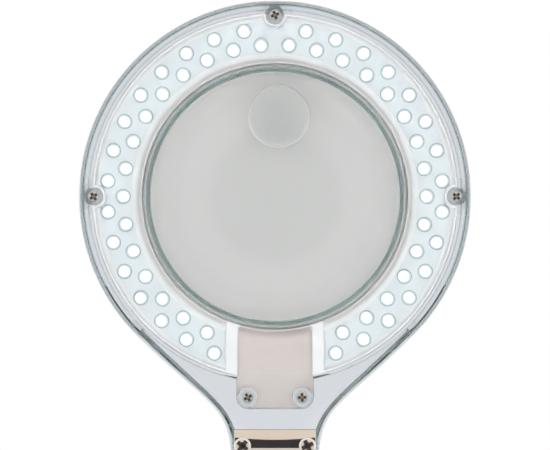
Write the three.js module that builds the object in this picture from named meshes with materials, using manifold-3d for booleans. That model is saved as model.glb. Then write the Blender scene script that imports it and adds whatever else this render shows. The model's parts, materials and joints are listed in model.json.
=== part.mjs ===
// A ring magnifying lamp: a clear head with a glass lens and a ring of LEDs, on a two-link friction arm and
// a weighted round base. Millimetres, X to the right, Y to the back, Z up. The origin is the centre of the
// pad's underside, and the light side of the head faces -Y.
import * as THREE from "three";
import { mergeVertices } from "three/addons/utils/BufferGeometryUtils.js";
import Module from "manifold-3d";

const wasm = await Module();
wasm.setup();
const radians = THREE.MathUtils.degToRad;

// ---- Driving dimensions ----

const GAP = 0.3; // clearance between pieces that touch
const PAST = 1; // how far a cutter runs past the face it opens
const LARGE = 32; // sides of large round pieces
const SMALL = 12; // sides of pins, screws and bores

// Posture and arm. The head stands upright at rest, straight above the base.
const ARM_LENGTH = 150; // pivot to pivot
const ARM_LEAN = radians(35); // the lower arm leans back and the upper arm forwards
const SHOULDER_HEIGHT = 62;
const TILT_TO_LENS = 190; // tilt axis to the middle of the lens
const WRIST_HEIGHT = SHOULDER_HEIGHT + 2 * ARM_LENGTH * Math.cos(ARM_LEAN);
const LENS_HEIGHT = WRIST_HEIGHT + TILT_TO_LENS;

// Head, in its own frame: X right, Y up the lamp, Z towards the light side, from the middle of the lens.
const HEAD = { radius: 95.6, rim: 94.2, flat: 73, widest: 2.5, front: 9.5, back: -16.5, wall: 2.5 };
const SLEEVE = { inner: 65.4, outer: 67.8, top: 2.5, lip: 61, seat: -2.3, lipBack: -5, mouth: 66.4 };
const NECK = {
  start: radians(134.9), // where its flare leaves the round head, from the top
  reach: 48.4,
  half: 21.4,
  foot: -126,
  rise: 25, // the flare's handle at its foot, up and out
  flare: 1.5,
  end: -146,
  back: -10,
  bevelSize: 5,
  bevelThickness: 7,
};
const COVER = { radius: 91, hole: 60.9, inner: 7, collar: 63.3, collarBack: 2.3, lap: 0.6 };
const TONGUE = { half: 19, end: -103.6, corner: 6 };
const LENS = { radius: 63.5, curve: 348, edge: 3 };
const INSET = { radius: 15.2, x: 1.9, y: 39.1, depth: 2.9, bulge: 0.6 };
const LED_ROWS = { pitch: radians(360 / 34), inner: 74.1, outer: 81.8, perRow: 15 };
const LED = { radius: 2.5, high: 3.7, cap: 1.5 };
const BOARD = { inner: 68.5, outer: 87.5, back: 1, front: 2.6, end: 24.3, sunk: 0.5 };
const BOARD_POST = { radius: 2, angles: [45, 135, 225, 315].map(radians) };
const CHAMBER = {
  outer: 88.9,
  wall: 1,
  innerTop: 65,
  innerFoot: 67.2,
  end: 22.5,
  endWall: 1.2,
  back: 2.9,
  front: 6.7,
};
const PLATE = { wide: 16.8, narrow: 8.5, top: -69, shoulder: -93, end: -101.5 };
const RIM_SCREW = { ring: 88.3, boss: 4.2, sleeve: 5.7, angles: [0, 90, 270].map(radians) };
const NECK_SCREW = { x: 13.2, y: -97.8, boss: 4 };
const BRACKET_SCREW = { x: 15.8, y: -121.3, boss: 3.6, head: 4.15, height: 2.4, shank: 1.6, short: 0.2 };
const SCREW = { head: 2.8, height: 1.8, shank: 1.45, tip: 0, pilotFloor: -2 };
const PAN = { side: 0.45, crown: 0.7 }; // shares of a pan head's height and radius
const BRACKET = { half: 20, top: -113.3, web: -150, thick: 2, corner: 4 };
const DUST = { radius: 70, back: -20.4, front: -16.9, bevel: 1.5, lap: 3 };
const DUST_TAB = { half: 8, long: 5, thick: 2.1 };
const HINGE = { y: -76.5, z: -20.2, knuckle: 3, half: 10.6, pin: 1.5, lug: 4, root: 2 };
const STRAP = { foot: 0.2, top: 2.6 };

// Friction joints: a tongue between two ears, on a bolt along X.
const JOINT = { tongue: 4, neck: 8, ear: 9, radius: 10, slot: 13, cap: 16.5, capRise: 3 };
const BOLT = { radius: 3, end: 21, hex: 5.6, hexHigh: 3.5, washer: 8, washerThick: 1.5 };
const KNOB = { start: 11.1, end: 26.5, radius: 11, lobe: 1.2, lobes: 6, bore: 22.5 };
const KNOB_COLLAR = { radius: 8.5, long: 2 };
const TUBE = { x: 8, y: 10, wall: 1.5, start: 22, corner: 2, insert: 18, pin: 1.5, pinAt: 32 };
const STEM = { radius: 4.9, bottom: 19, hex: 8, washer: 9, groove: 0.6, grooveHalf: 2.3 };
const KNUCKLE = { foot: 17.5, top: 36, half: 10, grubAt: 27, grub: 2, grubEnd: 9.5 };

// Base
const BASE = { radius: 95, flat: 72, shoulder: 12, top: 28, skirt: 1.2, wall: 2.5, bolt: 5, hole: 6.3 };
const PAD = { radius: 92, thick: 2 };
const WEIGHT = { radius: 80, foot: 2.3, top: 14, hole: 9 };
const TURRET = { radius: 21, foot: 29.6, shoulder: 35, waist: 12.5, neck: 44, rise: 3, floor: 4 };
const SWIVEL = { washer: 20, studFoot: 15, spring: 9.5, springThick: 2, nut: 8.6, nutHigh: 5 };
const BASE_SCREW = {
  ring: 60,
  boss: 4.5,
  head: 3.2,
  headFoot: 2.7,
  headTop: 5,
  sink: 5.3,
  shank: 1.5,
  end: 23,
  angles: [90, 210, 330].map(radians),
};
const SWITCH = { y: -55, pivot: 27.5, bodyX: 7, bodyY: 10.5, body: 9, well: 6.5 };
const FLANGE = { x: 9, y: 13, thick: 2 };
const ROCKER = { x: 5.1, y: 8, footHalf: 6, foot: -4, end: 3.4, lean: 0.7, dish: 2, pin: 1.2, on: -6 };
const INLET = {
  z: 7.5,
  low: 3,
  high: 13,
  wide: 6,
  deep: 74,
  face: 91.5,
  barrel: 4.8,
  barrelBack: 90,
  rim: 95.4,
  bore: 3.2,
  boreBack: 84,
  pin: 1.05,
  pinEnd: 93,
};
const DRIVER = { x0: 24, x1: 60, half: 14, foot: 16, thick: 1.6 };
const ON_BOARD = {
  coil: { radius: 5, high: 5, x: 33, y: 5 },
  capacitor: { radius: 3.2, high: 6, x: 33, y: -8 },
  chip: { x: [44, 51], half: 4, high: 1.6 },
  terminal: { x: [52, 59], half: 9, high: 5 },
};

// ---- Materials ----

const finish = (color, roughness, metalness = 0) =>
  new THREE.MeshStandardMaterial({ color, roughness, metalness });
const see = (color, roughness, opacity) =>
  new THREE.MeshStandardMaterial({ color, roughness, opacity, transparent: true });
const clearPlastic = see(0xdfe8e8, 0.12, 0.35);
const glass = see(0xcfd8d6, 0.03, 0.3);
const whitePlastic = finish(0xf2f4f4, 0.45);
const boardWhite = finish(0xeef3f6, 0.4);
const palePlate = finish(0xcdc5c1, 0.6);
const greyPlastic = finish(0xcdcccb, 0.5);
const blackPlastic = finish(0x1b1c1e, 0.5);
const rubber = finish(0x242527, 0.85);
const chrome = finish(0xd9dadb, 0.08, 1);
const steel = finish(0xa9acaf, 0.3, 1);
const whitePaint = finish(0xf0f0ee, 0.35, 0.1);
const castIron = finish(0x55585a, 0.7, 0.8);
const nylon = finish(0xe6e2d6, 0.6);
const circuitGreen = finish(0x2f6b46, 0.5);

// ---- Solids ----

// A closed geometry as a solid that can be joined and cut.
function solid(geometry) {
  const plain = geometry.clone();
  plain.deleteAttribute("normal");
  plain.deleteAttribute("uv");
  const merged = mergeVertices(plain, 1e-4);
  const triVerts = new Uint32Array(merged.index.array);
  const vertProperties = merged.attributes.position.array;
  return new wasm.Manifold(new wasm.Mesh({ numProp: 3, vertProperties, triVerts }));
}

function geometryOf(made) {
  const mesh = made.getMesh();
  const geometry = new THREE.BufferGeometry();
  geometry.setAttribute("position", new THREE.BufferAttribute(mesh.vertProperties, 3));
  geometry.setIndex(new THREE.BufferAttribute(mesh.triVerts, 1));
  geometry.computeVertexNormals();
  return geometry;
}

const join = (solids) => solids.reduce((sum, next) => sum.add(next));
const cut = (body, tools) => tools.reduce((rest, tool) => rest.subtract(tool), body);

function box([x0, x1], [y0, y1], [z0, z1]) {
  const block = new THREE.BoxGeometry(x1 - x0, y1 - y0, z1 - z0);
  return solid(block.translate((x0 + x1) / 2, (y0 + y1) / 2, (z0 + z1) / 2));
}

// A round bar along Z.
function rod(radius, z0, z1, { x = 0, y = 0, sides = SMALL } = {}) {
  const bar = new THREE.CylinderGeometry(radius, radius, z1 - z0, sides).rotateX(Math.PI / 2);
  return solid(bar.translate(x, y, (z0 + z1) / 2));
}

// A round bar along X.
function rodX(radius, x0, x1, { y = 0, z = 0, sides = SMALL } = {}) {
  const bar = new THREE.CylinderGeometry(radius, radius, x1 - x0, sides).rotateZ(Math.PI / 2);
  return solid(bar.translate((x0 + x1) / 2, y, z));
}

// A round bar along Y.
function rodY(radius, y0, y1, { x = 0, z = 0, sides = SMALL } = {}) {
  const bar = new THREE.CylinderGeometry(radius, radius, y1 - y0, sides);
  return solid(bar.translate(x, (y0 + y1) / 2, z));
}

// A profile of [radius, height] points turned about Z, anticlockwise seen with the radius to the right.
function turned(profile, sides = LARGE) {
  const points = profile.map(([radius, height]) => new THREE.Vector2(radius, height));
  return solid(new THREE.LatheGeometry(points, sides).rotateX(Math.PI / 2));
}

// A ring about Z whose profile closes on itself.
const ring = (profile, sides) => turned([...profile, profile[0]], sides);
const flatRing = (inner, outer, z0, z1, sides) =>
  ring([[inner, z0], [outer, z0], [outer, z1], [inner, z1]], sides);

function extruded(shape, z0, z1, curveSegments = 6) {
  const made = new THREE.ExtrudeGeometry(shape, { depth: z1 - z0, bevelEnabled: false, curveSegments });
  return solid(made.translate(0, 0, z0));
}

// A shape drawn as (y, z) and extruded along X.
function extrudedX(shape, x0, x1, curveSegments = 6) {
  const made = new THREE.ExtrudeGeometry(shape, { depth: x1 - x0, bevelEnabled: false, curveSegments });
  const turn = new THREE.Matrix4().makeBasis(
    new THREE.Vector3(0, 1, 0),
    new THREE.Vector3(0, 0, 1),
    new THREE.Vector3(1, 0, 0),
  );
  return solid(made.applyMatrix4(turn).translate(x0, 0, 0));
}

const outline = (points) => new THREE.Shape(points.map(([x, y]) => new THREE.Vector2(x, y)));

function roundedRectangle(x, y, corner) {
  const shape = new THREE.Shape();
  const arcs = [[x, -y, -90], [x, y, 0], [-x, y, 90], [-x, -y, 180]];
  for (const [cornerX, cornerY, from] of arcs) {
    const centreX = cornerX - Math.sign(cornerX) * corner;
    const centreY = cornerY - Math.sign(cornerY) * corner;
    shape.absarc(centreX, centreY, corner, radians(from), radians(from + 90), false);
  }
  return shape;
}

// Angles on the head are measured clockwise from its top, seen from the light side.
const onHead = (radius, angle) => ({ x: radius * Math.sin(angle), y: radius * Math.cos(angle) });

// A quarter ellipse of [radius, height] points, from below or above its centre out to its side.
function quarter(centreR, centreZ, wide, high, steps = 4) {
  const points = [];
  for (let i = 0; i <= steps; i++) {
    const angle = ((i / steps) * Math.PI) / 2;
    points.push([centreR + wide * Math.sin(angle), centreZ + high * Math.cos(angle)]);
  }
  return points;
}

function piece(name, made, material) {
  const mesh = new THREE.Mesh(geometryOf(made), material);
  mesh.name = name;
  return mesh;
}

function panScrew(x, y, { head, height, shank }, seat, tip) {
  const top = seat + height;
  const side = [[head, seat], [head, seat + height * PAN.side], [head * PAN.crown, top]];
  const cap = turned([[0, seat], ...side, [0, top]], SMALL);
  return cap.translate([x, y, 0]).add(rod(shank, tip, seat + PAST / 2, { x, y, sides: 8 }));
}

// ---- Head ----

// The neck's outline: it leaves the round head tangentially, flares in and runs straight to its end.
function neckOutline(inset) {
  const radius = HEAD.radius - inset;
  const start = onHead(radius, NECK.start);
  const along = { x: Math.cos(NECK.start), y: -Math.sin(NECK.start) };
  const half = NECK.half - inset;
  const bend = { x: start.x + NECK.reach * along.x, y: start.y + NECK.reach * along.y };
  const waist = { x: half + NECK.flare, y: NECK.foot + NECK.rise };
  const shape = new THREE.Shape();
  shape.moveTo(-start.x, start.y);
  shape.bezierCurveTo(-bend.x, bend.y, -waist.x, waist.y, -half, NECK.foot);
  shape.lineTo(-half, NECK.end + inset);
  shape.lineTo(half, NECK.end + inset);
  shape.lineTo(half, NECK.foot);
  shape.bezierCurveTo(waist.x, waist.y, bend.x, bend.y, start.x, start.y);
  return shape;
}

// The neck as a block whose back edges are rounded off to run into the head's rounded back.
function neckBlock(inset, back, front) {
  const { bevelSize, bevelThickness } = NECK;
  const made = new THREE.ExtrudeGeometry(neckOutline(inset), {
    depth: front - back,
    bevelSize,
    bevelThickness,
    bevelOffset: -bevelSize,
    bevelSegments: 2,
    curveSegments: 6,
  });
  const block = solid(made.translate(0, 0, back + bevelThickness));
  const wide = 2 * HEAD.radius;
  const above = box([-wide, wide], [-wide, 0], [front, front + 2 * bevelThickness + PAST]);
  return block.subtract(above);
}

function housingEnvelope() {
  const rise = HEAD.widest - HEAD.back;
  const side = quarter(HEAD.flat, HEAD.widest, HEAD.radius - HEAD.flat, -rise);
  const disc = turned([[0, HEAD.back], ...side, [HEAD.rim, HEAD.front], [0, HEAD.front]]);
  return disc.add(neckBlock(HEAD.radius - HEAD.rim, NECK.back, HEAD.front));
}

// The chamber inside the housing, less the bosses and posts that stand in it.
function housingCavity() {
  const wide = HEAD.radius - HEAD.flat - HEAD.wall;
  const rise = HEAD.widest - HEAD.back - HEAD.wall;
  const side = quarter(HEAD.flat, HEAD.widest, wide, -rise, 3);
  const ledge = COVER.radius - COVER.lap;
  const mouth = COVER.radius + GAP;
  const floor = HEAD.back + HEAD.wall;
  const coverSeat = COVER.inner - GAP;
  const open = HEAD.front + PAST;
  const chamber = ring([
    [SLEEVE.outer, floor],
    ...side,
    [HEAD.flat + wide, coverSeat - HEAD.wall],
    [ledge, coverSeat - HEAD.wall],
    [ledge, coverSeat],
    [mouth, coverSeat],
    [mouth, open],
    [SLEEVE.inner - PAST, open],
    [SLEEVE.inner - PAST, SLEEVE.top],
    [SLEEVE.outer, SLEEVE.top],
  ]);
  const neck = neckBlock(HEAD.wall + HEAD.radius - HEAD.rim, NECK.back + HEAD.wall, COVER.inner);
  const sleeve = rod(SLEEVE.outer, HEAD.back, HEAD.front, { sides: LARGE });
  const all = chamber.add(neck.subtract(sleeve)).add(coverPlate(GAP, coverSeat, open));
  return cut(all, housingPosts(floor));
}

function housingPosts(floor) {
  const top = COVER.inner - GAP;
  const rim = RIM_SCREW.angles.map((angle) =>
    rod(RIM_SCREW.boss, HEAD.back, top, { ...onHead(RIM_SCREW.ring, angle), sides: 8 }),
  );
  const inNeck = [-1, 1].flatMap((side) => [
    rod(NECK_SCREW.boss, HEAD.back, top, { x: side * NECK_SCREW.x, y: NECK_SCREW.y, sides: 8 }),
    rod(BRACKET_SCREW.boss, HEAD.back, HEAD.front, {
      x: side * BRACKET_SCREW.x,
      y: BRACKET_SCREW.y,
      sides: 8,
    }),
  ]);
  const middle = (BOARD.inner + BOARD.outer) / 2;
  const rests = BOARD_POST.angles.map((angle) =>
    rod(BOARD_POST.radius, floor - PAST, BOARD.back - GAP, { ...onHead(middle, angle), sides: 6 }),
  );
  return [...rim, ...inNeck, ...rests];
}

// The well through the middle: the lens seat from the front and a wide mouth behind its lip.
function lensWell() {
  return turned([
    [0, HEAD.back - PAST],
    [SLEEVE.mouth, HEAD.back - PAST],
    [SLEEVE.lip, SLEEVE.lipBack],
    [SLEEVE.lip, SLEEVE.seat],
    [SLEEVE.inner, SLEEVE.seat],
    [SLEEVE.inner, HEAD.front + PAST],
    [0, HEAD.front + PAST],
  ]);
}

const neckScrewPlaces = [-1, 1].map((side) => ({ x: side * NECK_SCREW.x, y: NECK_SCREW.y }));
const coverScrewPlaces = [
  ...RIM_SCREW.angles.map((angle) => onHead(RIM_SCREW.ring, angle)),
  ...neckScrewPlaces,
];

function headHousing() {
  const shell = housingEnvelope().subtract(housingCavity()).subtract(lensWell());
  const { y, z, half, knuckle, lug, root, pin } = HINGE;
  const lugs = [-1, 1].map((side) => {
    const near = side * (half + GAP);
    const far = side * (half + GAP + lug);
    const across = [Math.min(near, far), Math.max(near, far)];
    return box(across, [y - knuckle, y + knuckle], [z - knuckle, HEAD.back + root]);
  });
  const holes = coverScrewPlaces.map((place) =>
    rod(SCREW.shank + GAP, SCREW.pilotFloor, HEAD.front, { ...place, sides: 8 }),
  );
  const through = [-1, 1].map((side) =>
    rod(BRACKET_SCREW.shank + GAP, NECK.back - PAST, HEAD.front + PAST, {
      x: side * BRACKET_SCREW.x,
      y: BRACKET_SCREW.y,
      sides: 8,
    }),
  );
  const reach = half + GAP + lug + PAST;
  const hinge = rodX(pin + GAP, -reach, reach, { y, z, sides: 8 });
  return cut(join([shell, ...lugs]), [...holes, ...through, hinge]);
}

// The cover's outline as a plate, grown by a margin: a disc and the tongue down the neck.
function coverPlate(margin, z0, z1) {
  const disc = rod(COVER.radius + margin, z0, z1, { sides: LARGE });
  const long = -TONGUE.end / 2 + margin;
  const tongue = extruded(roundedRectangle(TONGUE.half + margin, long, TONGUE.corner), z0, z1, 3);
  return disc.add(tongue.translate([0, TONGUE.end / 2, 0]));
}

function frontCover() {
  const plate = coverPlate(0, COVER.inner, HEAD.front);
  const collar = rod(COVER.collar, COVER.collarBack, HEAD.front, { sides: LARGE });
  const hole = rod(COVER.hole, 0, HEAD.front + PAST, { sides: LARGE });
  const clearance = SCREW.shank + GAP;
  const holes = coverScrewPlaces.map((place) =>
    rod(clearance, COVER.inner - PAST, HEAD.front + PAST, { ...place, sides: 8 }),
  );
  return cut(plate.add(collar), [hole, ...holes]);
}

// How far a sphere of the lens's curve drops at a distance from its axis.
const drop = (curve, distance) => curve - Math.sqrt(curve ** 2 - distance ** 2);
const LENS_TOP = LENS.edge / 2 + drop(LENS.curve, LENS.radius);

function lensBlank() {
  const steps = 4;
  const faces = [];
  for (let i = 0; i <= steps; i++) {
    const distance = (LENS.radius * i) / steps;
    faces.push([distance, LENS_TOP - drop(LENS.curve, distance)]);
  }
  const back = faces.map(([distance, height]) => [distance, -height]);
  return turned([...back, ...faces.reverse()]);
}

// Turns a solid made on the lens's axis to the inset's place on the lens's front face.
function atInset(made) {
  const centre = LENS_TOP - LENS.curve;
  const away = Math.hypot(INSET.x, INSET.y);
  const lean = THREE.MathUtils.radToDeg(Math.asin(away / LENS.curve));
  const round = THREE.MathUtils.radToDeg(Math.atan2(INSET.x, INSET.y));
  const leaning = made.translate([0, 0, -centre]).rotate([-lean, 0, 0]);
  return leaning.rotate([0, 0, -round]).translate([0, 0, centre]);
}

const mainLens = () =>
  lensBlank().subtract(
    atInset(rod(INSET.radius + GAP, LENS_TOP - INSET.depth - GAP, LENS_TOP + PAST, { sides: 24 })),
  );

function insetLens() {
  const foot = LENS_TOP - INSET.depth;
  const edge = LENS_TOP - drop(LENS.curve, INSET.radius);
  const top = LENS_TOP + INSET.bulge;
  const dome = [1, 0.5, 0].map((share) => [INSET.radius * share, top - (top - edge) * share ** 2]);
  return atInset(turned([[0, foot], [INSET.radius, foot], ...dome], 24));
}

// LEDs in two staggered rows, with no LED at the neck or over the top screw.
function ledPlaces() {
  const places = [];
  for (const side of [-1, 1]) {
    for (let i = 0; i < LED_ROWS.perRow; i++) {
      places.push(onHead(LED_ROWS.inner, side * (i + 0.5) * LED_ROWS.pitch));
      places.push(onHead(LED_ROWS.outer, side * (i + 1) * LED_ROWS.pitch));
    }
  }
  return places;
}

const rimClearances = (radius, z0, z1) =>
  RIM_SCREW.angles.map((angle) => rod(radius, z0, z1, onHead(RIM_SCREW.ring, angle)));

const neckSlot = (half, z0, z1) => box([-half, half], [-HEAD.radius, 0], [z0, z1]);

function ledBoard() {
  const { inner, outer, back, front, end, sunk } = BOARD;
  const board = flatRing(inner, outer, back, front);
  const notches = rimClearances(RIM_SCREW.boss + GAP, 0, front + PAST);
  const foot = front - sunk;
  const top = front + LED.high;
  const dome = turned([[0, foot], [LED.radius, foot], [LED.radius, top - LED.cap], [0, top]], 6);
  const domes = ledPlaces().map(({ x, y }) => dome.translate([x, y, 0]));
  return cut(board, [...notches, neckSlot(end, 0, front + PAST)]).add(wasm.Manifold.union(domes));
}

function reflectorFrame() {
  const { outer, wall, innerTop, innerFoot, end, endWall, back, front } = CHAMBER;
  const outside = flatRing(outer - wall, outer, back, front);
  const cone = ring([
    [innerFoot, back],
    [innerFoot + wall, back],
    [innerTop + wall, front],
    [innerTop, front],
  ]);
  const disc = rod(outer, back, front, { sides: LARGE });
  const sleeves = rimClearances(RIM_SCREW.sleeve, back, front).map((sleeve) => sleeve.intersect(disc));
  const ends = [-1, 1].map((side) => {
    const near = side * end;
    const far = side * (end + endWall);
    const across = [Math.min(near, far), Math.max(near, far)];
    const between = flatRing(innerFoot, outer, back, front);
    return box(across, [-HEAD.radius, 0], [back, front]).intersect(between);
  });
  const walls = cut(join([outside, cone, ...sleeves]), [
    ...rimClearances(RIM_SCREW.boss + GAP, back - PAST, front + PAST),
    neckSlot(end, back - PAST, front + PAST),
  ]);
  return join([walls, ...ends]);
}

// The pale plate over the wiring: as wide as the neck, then narrow between the neck's two screw bosses.
function neckPlate() {
  const thick = [BOARD.back, BOARD.front];
  const wide = box([-PLATE.wide, PLATE.wide], [PLATE.shoulder, PLATE.top], thick);
  const narrow = box([-PLATE.narrow, PLATE.narrow], [PLATE.end, PLATE.shoulder + PAST], thick);
  const sleeve = rod(SLEEVE.outer + GAP, 0, BOARD.front + PAST, { sides: LARGE });
  return wide.add(narrow).subtract(sleeve);
}

// The dust cover behind the lens: a shallow lid with a finger tab on top and a hinge knuckle below.
function lensCover() {
  const { radius, back, front, bevel, lap } = DUST;
  const { y, z, knuckle, half, pin } = HINGE;
  const rim = [[radius - bevel, back], [radius, back + bevel], [radius, front]];
  const lid = turned([[0, back], ...rim, [0, front]]);
  const tabSides = [-DUST_TAB.half, DUST_TAB.half];
  const tab = box(tabSides, [radius - lap, radius + DUST_TAB.long], [front - DUST_TAB.thick, front]);
  const barrel = rodX(knuckle, -half, half, { y, z });
  const strap = box([-half, half], [y, lap - radius], [z + STRAP.foot, z + STRAP.top]);
  const bore = rodX(pin + GAP, -half - PAST, half + PAST, { y, z, sides: 8 });
  return join([lid, tab, barrel, strap]).subtract(bore);
}

function lensCoverPin() {
  const reach = HINGE.half + GAP + HINGE.lug;
  return rodX(HINGE.pin, -reach, reach, { y: HINGE.y, z: HINGE.z, sides: 8 });
}

// The bracket's plates lie on both faces of the neck, and its web closes them below the neck's end.
const BRACKET_FRONT = HEAD.front + GAP + BRACKET.thick;
const BRACKET_BACK = NECK.back - GAP - BRACKET.thick;
const STEM_Z = (BRACKET_FRONT + BRACKET_BACK) / 2;

function uOutline(inset, top) {
  const z0 = BRACKET_BACK + inset;
  const z1 = BRACKET_FRONT - inset;
  const foot = BRACKET.web - BRACKET.thick + inset;
  const corner = BRACKET.corner - inset;
  const shape = new THREE.Shape();
  shape.moveTo(top, z0);
  shape.lineTo(top, z1);
  shape.absarc(foot + corner, z1 - corner, corner, Math.PI / 2, Math.PI, false);
  shape.absarc(foot + corner, z0 + corner, corner, Math.PI, 1.5 * Math.PI, false);
  return shape;
}

function neckBracket() {
  const { half, top, thick, web } = BRACKET;
  const outside = extrudedX(uOutline(0, top), -half, half, 3);
  const inside = extrudedX(uOutline(thick, top + PAST), -half - PAST, half + PAST, 3);
  const holes = [-1, 1].map((side) =>
    rod(BRACKET_SCREW.shank + GAP, BRACKET_BACK - PAST, BRACKET_FRONT + PAST, {
      x: side * BRACKET_SCREW.x,
      y: BRACKET_SCREW.y,
      sides: 8,
    }),
  );
  const stemHole = rodY(STEM.radius + GAP, web - thick - PAST, web + PAST, { z: STEM_Z });
  return cut(outside, [inside, ...holes, stemHole]);
}

function swivelStem() {
  const headFoot = BRACKET.web + GAP;
  const bolt = rodY(STEM.radius, -TILT_TO_LENS + STEM.bottom, headFoot + PAST, { z: STEM_Z });
  const head = rodY(STEM.hex, headFoot, NECK.end - GAP, { z: STEM_Z, sides: 6 });
  const grooveAt = -TILT_TO_LENS + KNUCKLE.grubAt;
  const { radius, groove: deep, grooveHalf } = STEM;
  const groove = flatRing(radius - deep, radius + PAST, -grooveHalf, grooveHalf, SMALL);
  const placed = groove.rotate([90, 0, 0]).translate([0, grooveAt, STEM_Z]);
  return bolt.add(head).subtract(placed);
}

function buildHead() {
  const head = new THREE.Group();
  head.position.set(0, STEM_Z, LENS_HEIGHT);
  head.rotation.x = Math.PI / 2;
  const seat = HEAD.front + GAP / 2;
  const rimNames = ["top", "right", "left"];
  const lensGasket = flatRing(LENS.radius + GAP, SLEEVE.inner - GAP, SLEEVE.seat + GAP, LENS.edge / 2);
  head.add(
    piece("head_housing", headHousing(), clearPlastic),
    piece("front_cover", frontCover(), clearPlastic),
    piece("lens", mainLens(), glass),
    piece("inset_lens", insetLens(), glass),
    piece("lens_gasket", lensGasket, whitePlastic),
    piece("led_board", ledBoard(), boardWhite),
    piece("reflector_frame", reflectorFrame(), whitePlastic),
    piece("neck_plate", neckPlate(), palePlate),
    piece("lens_cover", lensCover(), greyPlastic),
    piece("lens_cover_pin", lensCoverPin(), steel),
    piece("neck_bracket", neckBracket(), chrome),
    piece("swivel_stem", swivelStem(), chrome),
  );
  RIM_SCREW.angles.forEach((angle, i) => {
    const { x, y } = onHead(RIM_SCREW.ring, angle);
    head.add(piece(`cover_screw_${rimNames[i]}`, panScrew(x, y, SCREW, seat, SCREW.tip), steel));
  });
  for (const [name, side] of [["left", -1], ["right", 1]]) {
    const small = panScrew(side * NECK_SCREW.x, NECK_SCREW.y, SCREW, seat, SCREW.tip);
    const { x, y, short } = BRACKET_SCREW;
    const large = panScrew(side * x, y, BRACKET_SCREW, BRACKET_FRONT + GAP / 2, BRACKET_BACK + short);
    head.add(piece(`neck_screw_${name}`, small, steel), piece(`bracket_screw_${name}`, large, chrome));
  }
  return head;
}

// ---- Friction joints, each in a frame with its pivot at the origin ----

const boltHole = () => rodX(BOLT.radius + GAP, -JOINT.ear - PAST, JOINT.ear + PAST);

function frictionBolt() {
  const headFoot = JOINT.ear + GAP;
  const head = rodX(BOLT.hex, -headFoot - BOLT.hexHigh, -headFoot, { sides: 6 });
  return head.add(rodX(BOLT.radius, -headFoot - PAST, BOLT.end));
}

function frictionWasher() {
  const near = JOINT.ear + GAP;
  const washer = flatRing(BOLT.radius + GAP, BOLT.washer, near, near + BOLT.washerThick, 16);
  return washer.rotate([0, 90, 0]);
}

function frictionKnob() {
  const { start, end, radius, lobe, lobes, bore } = KNOB;
  const points = [];
  const count = lobes * 4;
  for (let i = 0; i < count; i++) {
    const angle = (i / count) * 2 * Math.PI;
    const reach = radius + lobe * Math.cos(lobes * angle);
    points.push([reach * Math.cos(angle), reach * Math.sin(angle)]);
  }
  const gripStart = start + KNOB_COLLAR.long;
  const grip = extrudedX(outline(points), gripStart, end);
  const neck = rodX(KNOB_COLLAR.radius, start, gripStart + PAST, { sides: 24 });
  return grip.add(neck).subtract(rodX(BOLT.radius + GAP, start - PAST, bore));
}

// The part of a plug that fills the tube, with its pin hole.
function plugInsert() {
  const x = TUBE.x - TUBE.wall - GAP;
  const y = TUBE.y - TUBE.wall - GAP;
  const body = box([-x, x], [-y, y], [TUBE.start - PAST, TUBE.start + TUBE.insert]);
  return body.subtract(rodX(TUBE.pin + GAP, -TUBE.x, TUBE.x, { z: TUBE.pinAt, sides: 8 }));
}

function tonguePlug() {
  const { tongue, neck, radius, cap, capRise } = JOINT;
  const eye = rodX(radius, -tongue, tongue, { sides: 24 });
  const stalk = box([-tongue, tongue], [-neck, neck], [0, cap + PAST]);
  const rise = cap + capRise;
  const lid = TUBE.start - GAP;
  const right = [[neck, cap], [TUBE.y, rise], [TUBE.y, lid]];
  const left = right.map(([y, z]) => [-y, z]).reverse();
  const shoulders = extrudedX(outline([...right, ...left]), -TUBE.x, TUBE.x);
  return join([eye, stalk, shoulders, plugInsert()]).subtract(boltHole());
}

// Two ears about the pivot that join in a block above the slot.
function clevis(blockTop, half) {
  const { ear, radius, slot, tongue } = JOINT;
  const eye = rodX(radius, -ear, ear, { sides: 24 });
  const block = box([-ear, ear], [-half, half], [0, blockTop]);
  const past = radius + PAST;
  const space = box([-tongue - GAP, tongue + GAP], [-past, past], [-past, slot]);
  return eye.add(block).subtract(space).subtract(boltHole());
}

const clevisPlug = () => clevis(TUBE.start - GAP, JOINT.radius).add(plugInsert());

function armTube() {
  const length = ARM_LENGTH - 2 * TUBE.start;
  const shape = roundedRectangle(TUBE.x, TUBE.y, TUBE.corner);
  const x = TUBE.x - TUBE.wall;
  const y = TUBE.y - TUBE.wall;
  shape.holes.push(outline([[-x, -y], [x, -y], [x, y], [-x, y]]));
  const tube = extruded(shape, TUBE.start, TUBE.start + length, 3);
  const pins = [TUBE.pinAt, ARM_LENGTH - TUBE.pinAt].map((z) =>
    rodX(TUBE.pin + GAP, -TUBE.x - PAST, TUBE.x + PAST, { z, sides: 8 }),
  );
  return cut(tube, pins);
}

const plugPin = (z) => rodX(TUBE.pin, -TUBE.x, TUBE.x, { z, sides: 8 });

// A plug made for the lower end of an arm, turned over for the upper end.
const atFarEnd = (plug) => plug.rotate([180, 0, 0]).translate([0, 0, ARM_LENGTH]);

function buildArm(name, bottomPlug) {
  const arm = new THREE.Group();
  arm.add(
    piece(`${name}_tube`, armTube(), whitePaint),
    piece(`${name}_bottom_plug`, bottomPlug, chrome),
    piece(`${name}_bottom_pin`, plugPin(TUBE.pinAt), steel),
    piece(`${name}_top_plug`, atFarEnd(tonguePlug()), chrome),
    piece(`${name}_top_pin`, plugPin(ARM_LENGTH - TUBE.pinAt), steel),
  );
  return arm;
}

function addFriction(group, name) {
  group.add(
    piece(`${name}_bolt`, frictionBolt(), chrome),
    piece(`${name}_washer`, frictionWasher(), steel),
    piece(`${name}_knob`, frictionKnob(), blackPlastic),
  );
}

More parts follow.
